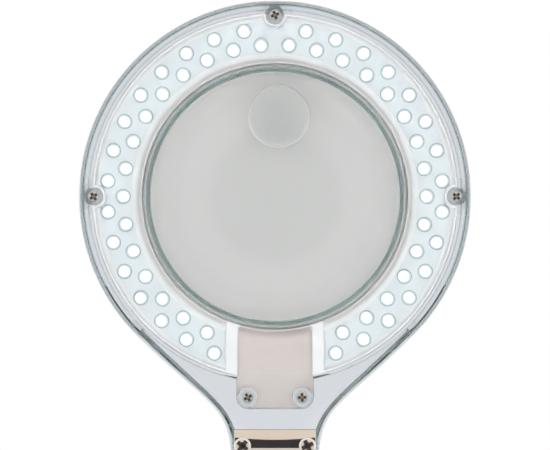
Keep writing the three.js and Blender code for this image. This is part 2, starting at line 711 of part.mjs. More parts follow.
function tiltKnuckle() {
  const { foot, top, half, grub, grubAt } = KNUCKLE;
  const head = box([-half, half], [-half, half], [foot, top]);
  const bore = rod(STEM.radius + GAP, foot + PAST, top + PAST);
  const thread = rodY(grub + GAP, 0, half + PAST, { z: grubAt, sides: 8 });
  return cut(clevis(top - PAST, half).add(head), [bore, thread]);
}

function buildWrist() {
  const wrist = new THREE.Group();
  wrist.position.set(0, 0, WRIST_HEIGHT);
  addFriction(wrist, "tilt");
  const webFoot = TILT_TO_LENS + BRACKET.web - BRACKET.thick;
  const washer = flatRing(STEM.radius + GAP, STEM.washer, KNUCKLE.top + GAP, webFoot - GAP, 16);
  const { grub: radius, grubAt, grubEnd } = KNUCKLE;
  const grub = rodY(radius, STEM.radius - STEM.groove + GAP, grubEnd, { z: grubAt, sides: 8 });
  wrist.add(
    piece("tilt_knuckle", tiltKnuckle(), chrome),
    piece("stem_washer", washer, nylon),
    piece("stem_set_screw", grub, steel),
  );
  return wrist;
}

// ---- Base ----

const onBase = (radius, angle) => ({ x: radius * Math.cos(angle), y: radius * Math.sin(angle) });

function baseCover() {
  const { radius, flat, shoulder, top, skirt, wall, hole } = BASE;
  const outside = quarter(flat, shoulder, radius - flat, top - shoulder).reverse();
  const inside = quarter(flat, shoulder, radius - flat - wall, top - shoulder - wall, 3);
  const shell = ring([
    [radius - wall, skirt],
    [radius, skirt],
    ...outside,
    [hole, top],
    [hole, top - wall],
    ...inside,
  ]);
  const bosses = BASE_SCREW.angles.map((angle) =>
    rod(BASE_SCREW.boss, WEIGHT.top + GAP, top - PAST, onBase(BASE_SCREW.ring, angle)),
  );
  const holes = BASE_SCREW.angles.map((angle) =>
    rod(BASE_SCREW.shank + GAP, 0, top - wall, { ...onBase(BASE_SCREW.ring, angle), sides: 8 }),
  );
  const { y, bodyX, bodyY } = SWITCH;
  const across = [-bodyX - GAP, bodyX + GAP];
  const window = box(across, [y - bodyY - GAP, y + bodyY + GAP], [top - wall - PAST, top + PAST]);
  const inlet = rodY(INLET.barrel + GAP, radius - wall - PAST, radius + PAST, { z: INLET.z, sides: 16 });
  return cut(join([shell, ...bosses]), [...holes, window, inlet]);
}

function baseWeight() {
  const { radius, foot, top, hole } = WEIGHT;
  const disc = flatRing(hole, radius, foot, top);
  const holes = BASE_SCREW.angles.flatMap((angle) => [
    rod(BASE_SCREW.shank + GAP, 0, top + PAST, { ...onBase(BASE_SCREW.ring, angle), sides: 8 }),
    rod(BASE_SCREW.head + GAP, 0, BASE_SCREW.sink, { ...onBase(BASE_SCREW.ring, angle), sides: 8 }),
  ]);
  const half = INLET.wide + PAST;
  const notch = box([-half, half], [INLET.deep - PAST, radius + PAST], [0, top + PAST]);
  return cut(disc, [...holes, notch]);
}

function baseScrew(angle) {
  const { ring: radius, head, headFoot, headTop, shank, end } = BASE_SCREW;
  const place = { ...onBase(radius, angle), sides: 8 };
  return rod(head, headFoot, headTop, place).add(rod(shank, headFoot + PAST, end, place));
}

function baseTurret() {
  const { radius, foot, shoulder: step, waist, neck, rise, floor } = TURRET;
  const top = neck + rise;
  const post = turned([[0, foot], [radius, foot], [radius, step], [waist, neck], [waist, top], [0, top]], 24);
  const ears = clevis(SHOULDER_HEIGHT - neck, JOINT.radius).rotate([180, 0, 0]);
  const raised = ears.translate([0, 0, SHOULDER_HEIGHT]);
  const bore = rod(BASE.bolt + GAP, foot - PAST, SHOULDER_HEIGHT - JOINT.slot - floor);
  return post.add(raised).subtract(bore);
}

// The turret's stud runs down through the cover's top, and a nut and a spring washer hold it there.
const swivelStud = () => rod(BASE.bolt, SWIVEL.studFoot, TURRET.neck);

function switchBezel() {
  const { y, pivot, bodyX, bodyY, body: deep, well: floor } = SWITCH;
  const top = BASE.top + FLANGE.thick;
  const flange = box([-FLANGE.x, FLANGE.x], [-FLANGE.y, FLANGE.y], [BASE.top + GAP, top]);
  const body = box([-bodyX, bodyX], [-bodyY, bodyY], [pivot - deep, BASE.top + PAST]);
  const x = ROCKER.x + GAP;
  const long = ROCKER.y + GAP;
  const well = box([-x, x], [-long, long], [pivot - floor, top + PAST]);
  const bore = rodX(ROCKER.pin + GAP, -bodyX - PAST, bodyX + PAST, { z: pivot, sides: 8 });
  return cut(flange.add(body), [well, bore]).translate([0, y, 0]);
}

// The rocker is drawn switched on, pressed down at its back end.
function switchRocker() {
  const { x, y, footHalf, foot, end, lean, dish, pin, on } = ROCKER;
  const side = outline([
    [-footHalf, foot],
    [footHalf, foot],
    [y, 0],
    [y - lean, end],
    [0, dish],
    [lean - y, end],
    [-y, 0],
  ]);
  const reach = SWITCH.bodyX - GAP;
  const key = extrudedX(side, -x, x).add(rodX(pin, -reach, reach, { sides: 8 }));
  return key.rotate([on, 0, 0]).translate([0, SWITCH.y, SWITCH.pivot]);
}

// A barrel socket for a low-voltage supply, open to the back, with its centre contact.
function dcInlet() {
  const { z, low, high, wide, deep, face, barrel, barrelBack, rim, bore, boreBack, pin, pinEnd } = INLET;
  const block = box([-wide, wide], [deep, face], [low, high]);
  const sleeve = rodY(barrel, barrelBack, rim, { z, sides: 16 });
  const well = rodY(bore, boreBack, rim + PAST, { z, sides: 16 });
  const contact = rodY(pin, boreBack - PAST, pinEnd, { z, sides: 8 });
  return block.add(sleeve).subtract(well).add(contact);
}

function driverBoard() {
  const { x0, x1, half, foot, thick } = DRIVER;
  const top = foot + thick;
  const board = box([x0, x1], [-half, half], [foot, top]);
  const { coil, capacitor, chip, terminal } = ON_BOARD;
  const round = [coil, capacitor].map(({ radius, high, x, y }) => rod(radius, foot, top + high, { x, y }));
  const square = [chip, terminal].map(({ x, half: y, high }) => box(x, [-y, y], [foot, top + high]));
  return join([board, ...round, ...square]);
}

function buildBase() {
  const base = new THREE.Group();
  const inside = BASE.top - BASE.wall - GAP;
  const swivelWasher = flatRing(BASE.hole, SWIVEL.washer, BASE.top + GAP, TURRET.foot - GAP, 24);
  const springFoot = inside - SWIVEL.springThick;
  const springWasher = flatRing(BASE.bolt + GAP, SWIVEL.spring, springFoot, inside, 16);
  const nutTop = springFoot - GAP;
  const hexagon = rod(SWIVEL.nut, nutTop - SWIVEL.nutHigh, nutTop, { sides: 6 });
  const nut = hexagon.subtract(rod(BASE.bolt + GAP, 0, inside));
  base.add(
    piece("base_cover", baseCover(), whitePaint),
    piece("base_weight", baseWeight(), castIron),
    piece("base_pad", rod(PAD.radius, 0, PAD.thick, { sides: LARGE }), rubber),
    piece("base_turret", baseTurret(), chrome),
    piece("swivel_stud", swivelStud(), steel),
    piece("swivel_washer", swivelWasher, nylon),
    piece("swivel_spring_washer", springWasher, steel),
    piece("swivel_nut", nut, steel),
    piece("switch_bezel", switchBezel(), blackPlastic),
    piece("switch_rocker", switchRocker(), blackPlastic),
    piece("dc_inlet", dcInlet(), blackPlastic),
    piece("driver_board", driverBoard(), circuitGreen),
  );
  BASE_SCREW.angles.forEach((angle, i) => {
    base.add(piece(`base_screw_${i + 1}`, baseScrew(angle), steel));
  });
  return base;
}

// ---- The lamp ----

const lamp = new THREE.Group();

const shoulder = new THREE.Group();
shoulder.position.set(0, 0, SHOULDER_HEIGHT);
addFriction(shoulder, "shoulder");

const lowerArm = buildArm("lower_arm", tonguePlug());
lowerArm.rotation.x = -ARM_LEAN;
shoulder.add(lowerArm);

const upperArm = buildArm("upper_arm", clevisPlug());
upperArm.position.set(0, ARM_LENGTH * Math.sin(ARM_LEAN), SHOULDER_HEIGHT + ARM_LENGTH * Math.cos(ARM_LEAN));
upperArm.rotation.x = ARM_LEAN;
addFriction(upperArm, "elbow");

lamp.add(buildBase(), shoulder, upperArm, buildWrist(), buildHead());

export default lamp;
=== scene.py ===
"""The looks of a ring magnifying lamp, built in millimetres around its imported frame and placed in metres."""
import json
import math

import bmesh
import bpy
from mathutils import Matrix, Vector


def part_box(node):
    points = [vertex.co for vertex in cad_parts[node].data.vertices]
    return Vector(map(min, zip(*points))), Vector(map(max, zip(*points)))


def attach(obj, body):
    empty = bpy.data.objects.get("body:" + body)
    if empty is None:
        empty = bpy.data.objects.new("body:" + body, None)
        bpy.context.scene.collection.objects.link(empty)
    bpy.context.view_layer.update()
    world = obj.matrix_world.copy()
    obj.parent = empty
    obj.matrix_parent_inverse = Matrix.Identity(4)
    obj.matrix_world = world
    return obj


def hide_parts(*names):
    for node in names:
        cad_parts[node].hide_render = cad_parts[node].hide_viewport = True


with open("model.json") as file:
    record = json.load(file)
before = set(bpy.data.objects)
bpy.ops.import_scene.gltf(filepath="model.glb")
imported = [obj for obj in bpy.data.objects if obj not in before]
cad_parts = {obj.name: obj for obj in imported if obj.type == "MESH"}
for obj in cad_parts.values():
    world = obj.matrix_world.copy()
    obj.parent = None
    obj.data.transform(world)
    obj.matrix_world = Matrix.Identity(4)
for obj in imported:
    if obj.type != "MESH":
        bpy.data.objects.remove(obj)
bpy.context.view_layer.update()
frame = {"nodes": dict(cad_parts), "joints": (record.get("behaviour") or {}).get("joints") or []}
JOINTS = {joint["name"]: joint for joint in frame["joints"]}

# ---- Places, from the frame ----

MM = 0.001


def pivot(joint):
    return Vector(JOINTS[joint]["pos_m"])


def tilted(origin, angle):
    """From millimetres in a frame turned about X to metres in the row frame."""
    return Matrix.Translation(origin) @ Matrix.Rotation(angle, 4, "X") @ Matrix.Scale(MM, 4)


SHOULDER = pivot("shoulder")
ELBOW = pivot("elbow")
WRIST = pivot("head_tilt")
REACH = ELBOW - SHOULDER
ARM_LENGTH = REACH.length / MM
ARM_LEAN = math.atan2(REACH.y, REACH.z)
LENS_LOW, LENS_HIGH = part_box("lens")
LENS_MIDDLE = (LENS_LOW + LENS_HIGH) / 2
DUST_FRONT_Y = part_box("lens_cover")[0].y
TILT_TO_LENS = (LENS_MIDDLE.z - WRIST.z) / MM

ON_BASE = tilted(Vector((0, 0, 0)), 0)
ON_TURRET = tilted(SHOULDER, 0)
ON_LOWER_ARM = tilted(SHOULDER, -ARM_LEAN)
ON_UPPER_ARM = tilted(ELBOW, ARM_LEAN)
ON_WRIST = tilted(WRIST, 0)
ON_HEAD = tilted(LENS_MIDDLE, math.pi / 2)  # X right, Y up the lamp, Z to the light side

# ---- Dimensions in millimetres ----

GAP = 0.3  # between pieces that touch, and round a hole

# Head shell, on the head's axis
FRONT = 9.5
BACK = -16.5
WALL = 2.5
HEAD_RADIUS = 95.6
RIM_RADIUS = 94.2
FLAT_RADIUS = 73
WIDEST = 2.5

# Front cover and its collar, and the housing's sleeve, lip and mouth for the lens
COVER_FOOT = 7
COVER_RADIUS = 91
COVER_HOLE = 60.9
COLLAR_RADIUS = 63.3
COLLAR_FOOT = 2.3
SLEEVE_INNER = 65.4
SLEEVE_OUTER = 67.8
SLEEVE_TOP = 2.5
LIP_RADIUS = 61
LIP_TOP = -2.3
LIP_FOOT = -5
MOUTH_RADIUS = 66.4

# Neck, and the cover's tongue over it
NECK_START = math.radians(134.9)
NECK_REACH = 48.4
NECK_HALF = 21.4
NECK_FOOT = -126
NECK_RISE = 25
NECK_END = -146
NECK_BACK = -10
TONGUE_HALF = 19
TONGUE_END = -103.6
TONGUE_CORNER = 6

# Lens and inset lens
LENS_RADIUS = 63.5
LENS_CURVE = 348
LENS_EDGE = 3
INSET_RADIUS = 15.2
INSET_X, INSET_Y = 1.9, 39.1
INSET_DEPTH = 2.9
INSET_BULGE = 0.6

# LEDs, their board and chamber
LED_PITCH = math.radians(360 / 34)
LED_ROWS = (74.1, 81.8)
LEDS_PER_ROW = 15
LENSLET_RADIUS = 3.75
BOARD_INNER, BOARD_OUTER = 68.5, 87.5
BOARD_BACK, BOARD_FRONT = 1, 2.6
BOARD_END = 24.3
CHAMBER_OUTER = 88.9
BOSS_CLEARANCE = 4.5
LED_BODY, LED_FLANGE, LEAD_PITCH = 2.5, 0.7, 2.54
WALL_BACK, WALL_FRONT, WALL_THICK, WALL_END = 2.9, 6.7, 1.0, 22.5
CONE_TOP, CONE_FOOT = 65, 67.2

# Screws, bracket and stem
RIM_SCREW_RING = 88.3
RIM_SCREW_ANGLES = {"top": 0, "right": math.pi / 2, "left": 1.5 * math.pi}
NECK_SCREW_X, NECK_SCREW_Y = 13.2, -97.8
BRACKET_SCREW_X, BRACKET_SCREW_Y = 15.8, -121.3
BRACKET_HALF = 20
BRACKET_TOP = -113.3
BRACKET_WEB = -150
BRACKET_THICK = 2
BRACKET_FRONT = FRONT + 0.3 + BRACKET_THICK
BRACKET_BACK = NECK_BACK - 0.3 - BRACKET_THICK
STEM_Z = (BRACKET_FRONT + BRACKET_BACK) / 2
STEM_RADIUS = 4.9

# Dust cover and its hinge
DUST_RADIUS = 70
DUST_BACK, DUST_FRONT = -20.4, -16.9
HINGE_Y, HINGE_Z = -76.5, -20.2
HINGE_HALF = 10.6
HINGE_PIN = 1.5

# Friction joints and arms
EAR, TONGUE, EYE_RADIUS, SLOT = 9, 4, 10, 13
BOLT_RADIUS = 3
TUBE_X, TUBE_Y, TUBE_WALL, TUBE_START = 8, 10, 1.5, 22
PIN_AT, PIN_RADIUS = 32, 1.5
KNUCKLE_FOOT, KNUCKLE_TOP = 17.5, 36
GRUB_AT, GRUB_RADIUS = 27, 2

# Base
BASE_RADIUS, BASE_TOP, BASE_SKIRT = 95, 28, 1.2
PAD_RADIUS, PAD_THICK = 92, 2
SWITCH_Y, SWITCH_PIVOT = -55, 27.5
SWITCH_HALF_X, SWITCH_HALF_Y = 7, 10.5
INLET_Z, INLET_RADIUS = 7.5, 4.8
FINE = 192  # sides of the head's and the base's large rounds

# ---- Mesh tools ----


def mesh_object(bm):
    """A finished bmesh as an object in the scene."""
    mesh = bpy.data.meshes.new("piece")
    bm.to_mesh(mesh)
    bm.free()
    made = bpy.data.objects.new("piece", mesh)
    bpy.context.scene.collection.objects.link(made)
    return made


def solid_object(bm):
    bmesh.ops.recalc_face_normals(bm, faces=bm.faces)
    return mesh_object(bm)


def strip(bm, low, high):
    """Faces between two rings of vertices, either of which may be one point."""
    count = max(len(low), len(high))
    for i in range(count):
        j = (i + 1) % count
        if len(low) == 1:
            bm.faces.new((low[0], high[j], high[i]))
        elif len(high) == 1:
            bm.faces.new((low[i], low[j], high[0]))
        else:
            bm.faces.new((low[i], low[j], high[j], high[i]))


def turned(profile, sides=128):
    """A profile of (radius, z) points turned about Z. One that stays off the axis closes on itself."""
    bm = bmesh.new()
    rings = []
    for radius, z in profile:
        count = sides if radius > 1e-6 else 1
        turns = [2 * math.pi * i / sides for i in range(count)]
        rings.append([bm.verts.new((radius * math.cos(a), radius * math.sin(a), z)) for a in turns])
    pairs = list(zip(rings, rings[1:]))
    if len(rings[0]) > 1 and len(rings[-1]) > 1:
        pairs.append((rings[-1], rings[0]))
    for low, high in pairs:
        strip(bm, low, high)
    return solid_object(bm)


def lofted(rings):
    """A solid through rings of 3-D points, capped at both ends."""
    bm = bmesh.new()
    made = [[bm.verts.new(point) for point in ring] for ring in rings]
    for low, high in zip(made, made[1:]):
        strip(bm, low, high)
    bm.faces.new(list(reversed(made[0])))
    bm.faces.new(made[-1])
    return solid_object(bm)


def inset_outline(outline, inset):
    """An anticlockwise outline moved inwards."""
    moved = []
    count = len(outline)
    for i, (x, y) in enumerate(outline):
        before, after = outline[i - 1], outline[(i + 1) % count]
        normals = []
        for (x0, y0), (x1, y1) in ((before, (x, y)), ((x, y), after)):
            length = math.hypot(x1 - x0, y1 - y0)
            normals.append(((y0 - y1) / length, (x1 - x0) / length))
        (ax, ay), (bx, by) = normals
        share = inset / (1 + ax * bx + ay * by)
        moved.append((x + share * (ax + bx), y + share * (ay + by)))
    return moved


def quarter_turns(steps):
    return [math.pi / 2 * i / steps for i in range(steps + 1)]


def edge_steps(z0, z1, edge, steps=3):
    """(inset, z) pairs up the side of a plate whose two edges are rounded."""
    pairs = [(edge * (1 - math.sin(a)), z0 + edge * (1 - math.cos(a))) for a in quarter_turns(steps)]
    return pairs + [(inset, z0 + z1 - z) for inset, z in reversed(pairs)]


def plate(outline, z0, z1, edge=0.3):
    """An outline extruded along Z with rounded edges."""
    sides = edge_steps(z0, z1, edge) if edge else [(0, z0), (0, z1)]
    return lofted([[(x, y, z) for x, y in inset_outline(outline, inset)] for inset, z in sides])


def circle(radius, x=0.0, y=0.0, sides=48):
    turns = [2 * math.pi * i / sides for i in range(sides)]
    return [(x + radius * math.cos(a), y + radius * math.sin(a)) for a in turns]


def rounded(points, steps=5):
    """An outline whose corners are rounded: each point is (x, y, corner radius)."""
    made = []
    count = len(points)
    for i, (x, y, radius) in enumerate(points):
        if not radius:
            made.append((x, y))
            continue
        here = Vector((x, y))
        before = Vector(points[i - 1][:2]) - here
        after = Vector(points[(i + 1) % count][:2]) - here
        half = before.angle(after) / 2
        reach = min(radius / math.tan(half), 0.49 * before.length, 0.49 * after.length)
        bow = reach * math.tan(half)
        middle = here + (before.normalized() + after.normalized()).normalized() * bow / math.sin(half)
        start = here + before.normalized() * reach - middle
        end = here + after.normalized() * reach - middle
        turn = start.angle_signed(end)
        for step in range(steps + 1):
            spot = middle + Matrix.Rotation(-turn * step / steps, 2) @ start
            made.append((spot.x, spot.y))
    return made


def rectangle(x0, x1, y0, y1, corner):
    return rounded([(x0, y0, corner), (x1, y0, corner), (x1, y1, corner), (x0, y1, corner)])


def block(x0, x1, y0, y1, z0, z1, corner=0.0, edge=0.0):
    outline = rectangle(x0, x1, y0, y1, corner)
    return plate(outline, z0, z1, edge)


def bar(radius, z0, z1, x=0.0, y=0.0, sides=48, edge=0.0):
    return plate(circle(radius, x, y, sides), z0, z1, edge)


def ring(inner, outer, z0, z1, inner_edge, outer_edge, steps=2, sides=64):
    """A washer or band with rounded edges."""
    corners = [(inner, z0, inner_edge), (outer, z0, outer_edge),
               (outer, z1, outer_edge), (inner, z1, inner_edge)]
    return turned(rounded(corners, steps), sides)


ALONG_X = Matrix(((0, 0, 1, 0), (1, 0, 0, 0), (0, 1, 0, 0), (0, 0, 0, 1)))  # X, Y, Z to Y, Z, X
ALONG_Y = Matrix(((0, 1, 0, 0), (0, 0, 1, 0), (1, 0, 0, 0), (0, 0, 0, 1)))  # X, Y, Z to Z, X, Y
Y_AND_Z_SWAPPED = Matrix(((1, 0, 0, 0), (0, 0, 1, 0), (0, 1, 0, 0), (0, 0, 0, 1)))  # mirrors as well
Z_TO_Y = Matrix.Rotation(-math.pi / 2, 4, "X")
TURNED_OVER = Matrix.Rotation(math.pi, 4, "X")


def moved(made, matrix):
    made.data.transform(matrix)
    return made


def shifted(made, x=0.0, y=0.0, z=0.0):
    return moved(made, Matrix.Translation((x, y, z)))


def merged(parts):
    """Several solids that don't touch, as one mesh."""
    bm = bmesh.new()
    for part in parts:
        bm.from_mesh(part.data)
        bpy.data.objects.remove(part)
    return mesh_object(bm)


def combined(body, join=(), cut=()):
    """A solid with others joined on and then others cut away."""
    for operation, tools in (("UNION", join), ("DIFFERENCE", cut)):
        for tool in tools:
            step = body.modifiers.new("boolean", "BOOLEAN")
            step.operation = operation
            step.solver = "MANIFOLD"
            step.object = tool
    bpy.context.view_layer.update()
    graph = bpy.context.evaluated_depsgraph_get()
    mesh = bpy.data.meshes.new_from_object(body.evaluated_get(graph))
    body.modifiers.clear()
    body.data = mesh
    for tool in (*join, *cut):
        bpy.data.objects.remove(tool)
    return body


def quarter(radius, z, wide, high, steps=12):
    """(radius, z) points on a quarter ellipse, from above or below its centre out to its side."""
    return [(radius + wide * math.sin(a), z + high * math.cos(a)) for a in quarter_turns(steps)]


def bezier(start, bend, waist, end, steps=24):
    """Points on a cubic curve."""
    points = []
    for i in range(steps + 1):
        t = i / steps
        shares = ((1 - t) ** 3, 3 * t * (1 - t) ** 2, 3 * t * t * (1 - t), t**3)
        corners = (start, bend, waist, end)
        points.append(tuple(sum(s * p[axis] for s, p in zip(shares, corners)) for axis in (0, 1)))
    return points


def drop(curve, distance):
    """How far a sphere of radius curve has fallen away at a distance from its axis."""
    return curve - math.sqrt(curve**2 - distance**2)


def curve_over(radius, rise):
    """The radius of the sphere that rises so far over a disc."""
    return (radius**2 + rise**2) / (2 * rise)


def on_head(radius, angle):
    """Angles on the head run clockwise from its top, seen from the light side."""
    return radius * math.sin(angle), radius * math.cos(angle)


def rim_screw_places():
    return [on_head(RIM_SCREW_RING, angle) for angle in RIM_SCREW_ANGLES.values()]


# ---- Materials ----


class Graph:
    """Adds nodes to a tree. A value that is a socket is linked, and any other is set."""

    def __init__(self, tree):
        tree.nodes.clear()
        self.tree = tree

    def add(self, kind, values=None, **settings):
        node = self.tree.nodes.new("ShaderNode" + kind)
        for key, value in settings.items():
            setattr(node, key, value)
        for key, value in (values or {}).items():
            if isinstance(value, bpy.types.NodeSocket):
                self.tree.links.new(value, node.inputs[key])
            else:
                node.inputs[key].default_value = value
        return node

    def place(self, stretch=(1, 1, 1)):
        spot = self.add("TexCoord").outputs["Object"]
        return self.add("Mapping", {"Vector": spot, "Scale": stretch}).outputs["Vector"]

    def noise(self, per_metre, detail=4.0, stretch=(1, 1, 1), roughness=0.5):
        values = {"Vector": self.place(stretch), "Scale": per_metre, "Detail": detail}
        values["Roughness"] = roughness
        return self.add("TexNoise", values).outputs["Fac"]

    def spread(self, value, low, high, from_low=0.3, from_high=0.7):
        values = {"Value": value, "From Min": from_low, "From Max": from_high}
        values.update({"To Min": low, "To Max": high})
        return self.add("MapRange", values).outputs["Result"]

    def mix(self, share, first, second, blend="MIX"):
        values = {0: share, 6: first, 7: second}
        return self.add("Mix", values, data_type="RGBA", blend_type=blend).outputs[2]

    def bump(self, height, strength, distance, normal=None):
        values = {"Height": height, "Strength": strength, "Distance": distance}
        if normal:
            values["Normal"] = normal
        return self.add("Bump", values).outputs["Normal"]

    def ramp(self, value, stops, interpolation="LINEAR"):
        node = self.add("ValToRGB", {"Fac": value})
        node.color_ramp.interpolation = interpolation
        elements = node.color_ramp.elements
        while len(elements) < len(stops):
            elements.new(0.5)
        for element, (at, colour) in zip(elements, stops):
            element.position = at
            element.color = (*colour, 1)
        return node.outputs["Color"]

    def principled(self, values):
        shader = self.add("BsdfPrincipled", values)
        return self.add("OutputMaterial", {"Surface": shader.outputs[0]})


def new_graph(name):
    material = bpy.data.materials.new(name)
    material.use_nodes = True
    return material, Graph(material.node_tree)


def colour(value, factor=1.0):
    return (*[min(channel * factor, 1) for channel in value], 1)


def coated(name, base, roughness, mottle=0.05, grain=1500, height=0.02, gloss=0.2, coat=0.0, metallic=0.0):
    """A moulded, painted or cast surface: slight mottling, uneven gloss and a fine grain."""
    material, g = new_graph(name)
    cloud = g.noise(35, 5)
    tint = g.mix(g.spread(cloud, 0, 1), colour(base, 1 - mottle), colour(base, 1 + mottle))
    smear = g.spread(g.noise(90, 6, (1, 1, 0.4)), roughness * (1 - gloss), min(roughness * (1 + gloss), 1))
    normal = g.bump(g.noise(grain, 3), 1.0, height * MM)
    values = {"Base Color": tint, "Roughness": smear, "Normal": normal, "Metallic": metallic}
    values["Coat Weight"] = coat
    values["Coat Roughness"] = 0.08
    g.principled(values)
    return material


def plated(name, base, low, high, scratch=0.004):
    """Bright metal with finger smudges and fine hairline scratches."""
    material, g = new_graph(name)
    smudge = g.noise(60, 6, roughness=0.65)
    hair = g.noise(700, 2, (1, 12, 12))
    gloss = g.add("Math", {0: g.spread(smudge, low, high), 1: g.spread(hair, 0, 0.03)}, operation="ADD")
    tint = g.mix(g.spread(smudge, 0, 1), colour(base, 0.96), colour(base, 1.0))
    normal = g.bump(hair, 0.6, scratch * MM)
    g.principled({"Base Color": tint, "Metallic": 1.0, "Roughness": gloss.outputs[0], "Normal": normal})
    return material


def see_through(name, base, ior, low, high, absorbed=None, density=0.0, haze=40, ripple=0.002):
    """A clear solid with a faint haze, tinted by the length of the way through it."""
    material, g = new_graph(name)
    gloss = g.spread(g.noise(haze, 5), low, high)
    normal = g.bump(g.noise(28, 3), 1.0, ripple * MM)
    values = {"Base Color": colour(base), "Roughness": gloss, "Normal": normal, "IOR": ior}
    values["Transmission Weight"] = 1.0
    out = g.principled(values)
    if density:
        volume = g.add("VolumeAbsorption", {"Color": colour(absorbed), "Density": density})
        g.tree.links.new(volume.outputs[0], out.inputs["Volume"])
    return material


def painted_glow_glass(name, ior, light, strength):
    """Clear glass with painted light: a faint glow of its own."""
    material, g = new_graph(name)
    normal = g.bump(g.noise(28, 3), 1.0, 0.0005 * MM)
    values = {"Base Color": (1, 1, 1, 1), "Roughness": g.spread(g.noise(40, 5), 0, 0.008), "Normal": normal}
    values.update({"IOR": ior, "Transmission Weight": 1.0, "Emission Color": colour(light)})
    values["Emission Strength"] = strength
    g.principled(values)
    return material


def glowing(name, base, light, strength):
    """A surface with a glow of its own: painted light on a surface that is no lamp, or a real lamp."""
    material, g = new_graph(name)
    tint = g.mix(g.spread(g.noise(900, 2), 0, 1), colour(base, 0.95), colour(base))
    values = {"Base Color": tint, "Roughness": 0.2, "Emission Color": colour(light)}
    values["Emission Strength"] = strength
    g.principled(values)
    return material


def painted_light_gradient(name, base, steps):
    """Painted light: a moulding's colour painted paler from the head's axis outwards. Each step is
    (millimetres, brightness).
    """
    material, g = new_graph(name)
    reach = steps[-1][0]
    axis = g.add("CombineXYZ", {"X": LENS_MIDDLE.x, "Y": DUST_FRONT_Y, "Z": LENS_MIDDLE.z}).outputs[0]
    spot = g.add("TexCoord").outputs["Object"]
    away = g.add("VectorMath", {0: spot, 1: axis}, operation="DISTANCE").outputs["Value"]
    stops = [(at / reach, [channel * bright for channel in base]) for at, bright in steps]
    # The painted light: brighter with distance from the head's axis.
    tint = g.ramp(g.spread(away, 0, 1, 0, reach * MM), stops)
    tint = g.mix(g.spread(g.noise(35, 5), 0, 0.06), tint, colour(base, steps[0][1]))
    gloss = g.spread(g.noise(90, 6), 0.42, 0.58)
    normal = g.bump(g.noise(2600, 3), 1.0, 0.012 * MM)
    g.principled({"Base Color": tint, "Roughness": gloss, "Normal": normal})
    return material


def solder_mask(name, base, track, pitch):
    """A circuit board's lacquer with its tracks just showing through."""
    material, g = new_graph(name)
    cells = g.add("TexVoronoi", {"Vector": g.place(), "Scale": pitch}, distance="MANHATTAN")
    edges = g.spread(cells.outputs["Distance"], 0, 1, 0.25, 0.3)
    cloud = g.mix(g.spread(g.noise(45, 4), 0, 1), colour(base, 0.97), colour(base, 1.02))
    tint = g.mix(edges, cloud, colour(track))
    normal = g.bump(edges, 0.3, 0.02 * MM)
    g.principled({"Base Color": tint, "Roughness": 0.35, "Normal": normal})
    return material


# Painted light: the dust cover's inner face is painted brighter towards its rim, standing in for the ring of
# LEDs lighting it there.
LID_PAINTED_LIGHT_STEPS = [(0, 0.665), (29, 0.685), (48, 0.755), (56, 0.92), (65, 0.96)]


